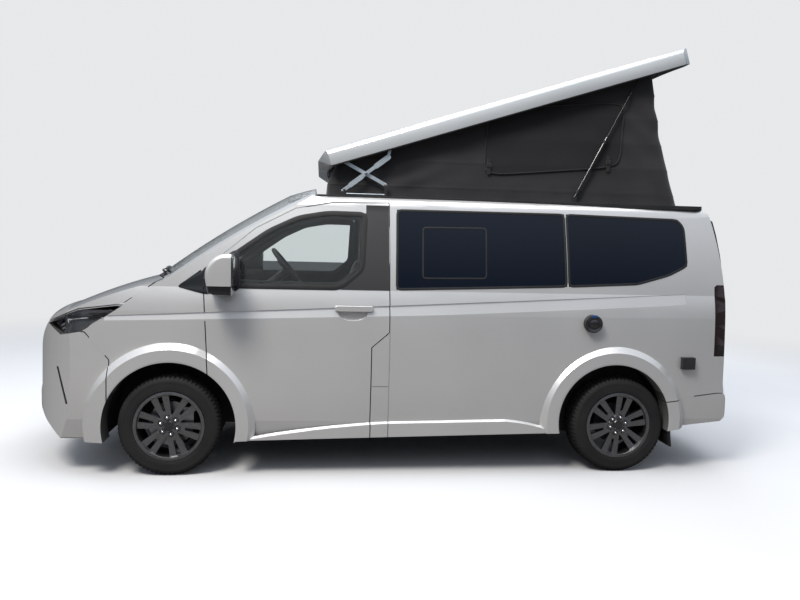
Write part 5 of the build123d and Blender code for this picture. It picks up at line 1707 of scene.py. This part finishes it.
@dataclass
class Studio:
    """Floor, light and the photograph's camera."""

    camera_place: tuple[float, float, float] = (-0.53636, -5.79393, 1.580)
    yaw: float = math.radians(6.342)
    pitch: float = math.radians(4.463)
    roll: float = math.radians(1.455)
    focal: float = 720.0
    picture_width: float = 800.0
    sensor: float = 36.0
    backdrop: Colour = (0.80, 0.81, 0.82)
    # light of the sky near the ground and overhead, and the heights between which it changes
    sky: Flat = (0.12, 0.75)
    dusk: Flat = (0.02, 0.60)
    sky_tone: Colour = (0.80, 0.88, 1.0)
    floor_size: float = 90.0
    floor_tones: tuple[Colour, Colour] = ((0.66, 0.66, 0.67), (0.69, 0.69, 0.70))
    floor_glow: Colour = (0.16, 0.155, 0.15)
    floor_fade: Flat = (4.5, 11.0)
    # (name, place, aim, size, power, tone): a high key light, an overhead softbox and a fill from behind
    lights: tuple[tuple[str, Colour, Colour, float, float, Colour], ...] = (
        ("key", (-3.5, -5.5, 8.5), (0.0, 0.0, 1.0), 3.0, 760.0, (1.0, 0.96, 0.90)),
        ("overhead", (0.5, -0.5, 8.0), (0.0, 0.0, 0.0), 7.0, 420.0, (0.97, 0.98, 1.0)),
        ("back fill", (3.0, 8.0, 5.0), (0.0, 0.0, 1.2), 5.0, 300.0, (0.95, 0.97, 1.0)))

    def build(self) -> None:
        """Builds floor, world, lamps and camera."""
        self.floor()
        self.world()
        self.lamps()
        self.camera()
        log.info("studio ready")

    def floor(self) -> None:
        """Lays a pale floor."""
        bpy.ops.mesh.primitive_plane_add(size=self.floor_size, location=(0.0, 0.0, 0.0))
        floor = bpy.context.object
        floor.name = "studio_floor"
        nodes = Nodes("pale floor")
        nodes.paint(nodes.ramp(nodes.noise(0.4), *self.floor_tones))
        nodes.set(roughness=0.9, specular_ior_level=0.1)
        nodes.fade(self.backdrop, *self.floor_fade)
        nodes.dim(self.floor_glow)
        floor.data.materials.append(nodes.material)

    def world(self) -> None:
        """Soft sky light, seen pale by the camera and by glass."""
        world = bpy.data.worlds.new("studio")
        bpy.context.scene.world = world
        graph = Graph(world, "OutputWorld")
        direction = graph.add("SeparateXYZ", {0: graph.add("TexCoord").outputs["Generated"]})
        strength = graph.between(direction.outputs["Z"], self.dusk, self.sky)
        light = graph.add("Background", {"Color": (*self.sky_tone, 1.0), "Strength": strength})
        seen = graph.add("Background", {"Color": (*self.backdrop, 1.0)})
        path = graph.add("LightPath").outputs
        either = graph.calculate("MAXIMUM", path["Is Camera Ray"], path["Is Transmission Ray"])
        graph.show(either, light.outputs[0], seen.outputs[0])

    def lamps(self) -> None:
        """Hangs the area lights."""
        for name, place, aim, size, power, tone in self.lights:
            lamp = bpy.data.lights.new(name, "AREA")
            lamp.size, lamp.energy, lamp.color = size, power, tone
            holder = bpy.data.objects.new(name, lamp)
            holder.location = place
            holder.rotation_euler = (Vector(aim) - Vector(place)).to_track_quat("-Z", "Y").to_euler()
            bpy.context.scene.collection.objects.link(holder)

    def camera(self) -> None:
        """Sets the camera where the photograph was taken."""
        forward = Vector((math.sin(self.yaw) * math.cos(self.pitch), math.cos(self.yaw) * math.cos(self.pitch),
                          -math.sin(self.pitch)))
        right = Vector((math.cos(self.yaw), -math.sin(self.yaw), 0.0))
        up = right.cross(forward)
        across = math.cos(self.roll) * right + math.sin(self.roll) * up
        above = -math.sin(self.roll) * right + math.cos(self.roll) * up
        turn = Matrix((across, above, -forward)).transposed()
        lens = bpy.data.cameras.new("photograph")
        lens.sensor_width = self.sensor
        lens.lens = self.sensor * self.focal / self.picture_width
        holder = bpy.data.objects.new("photograph", lens)
        holder.matrix_world = Matrix.Translation(self.camera_place) @ turn.to_4x4()
        bpy.context.scene.collection.objects.link(holder)
        bpy.context.scene.camera = holder
        bpy.context.scene.view_settings.view_transform = "Standard"


def main() -> None:
    """Dresses the van and sets the studio."""
    logging.basicConfig(level=logging.INFO, format="%(message)s")
    Studio().build()
    dress_nodes()
    for assembly in (Wheels(), Windows(), Lamps(), Mirrors(), Lid(), Tent(), Fittings(), Seats()):
        assembly.build()
        log.info("%s done", type(assembly).__name__)


if __name__ == "__main__":
    main()
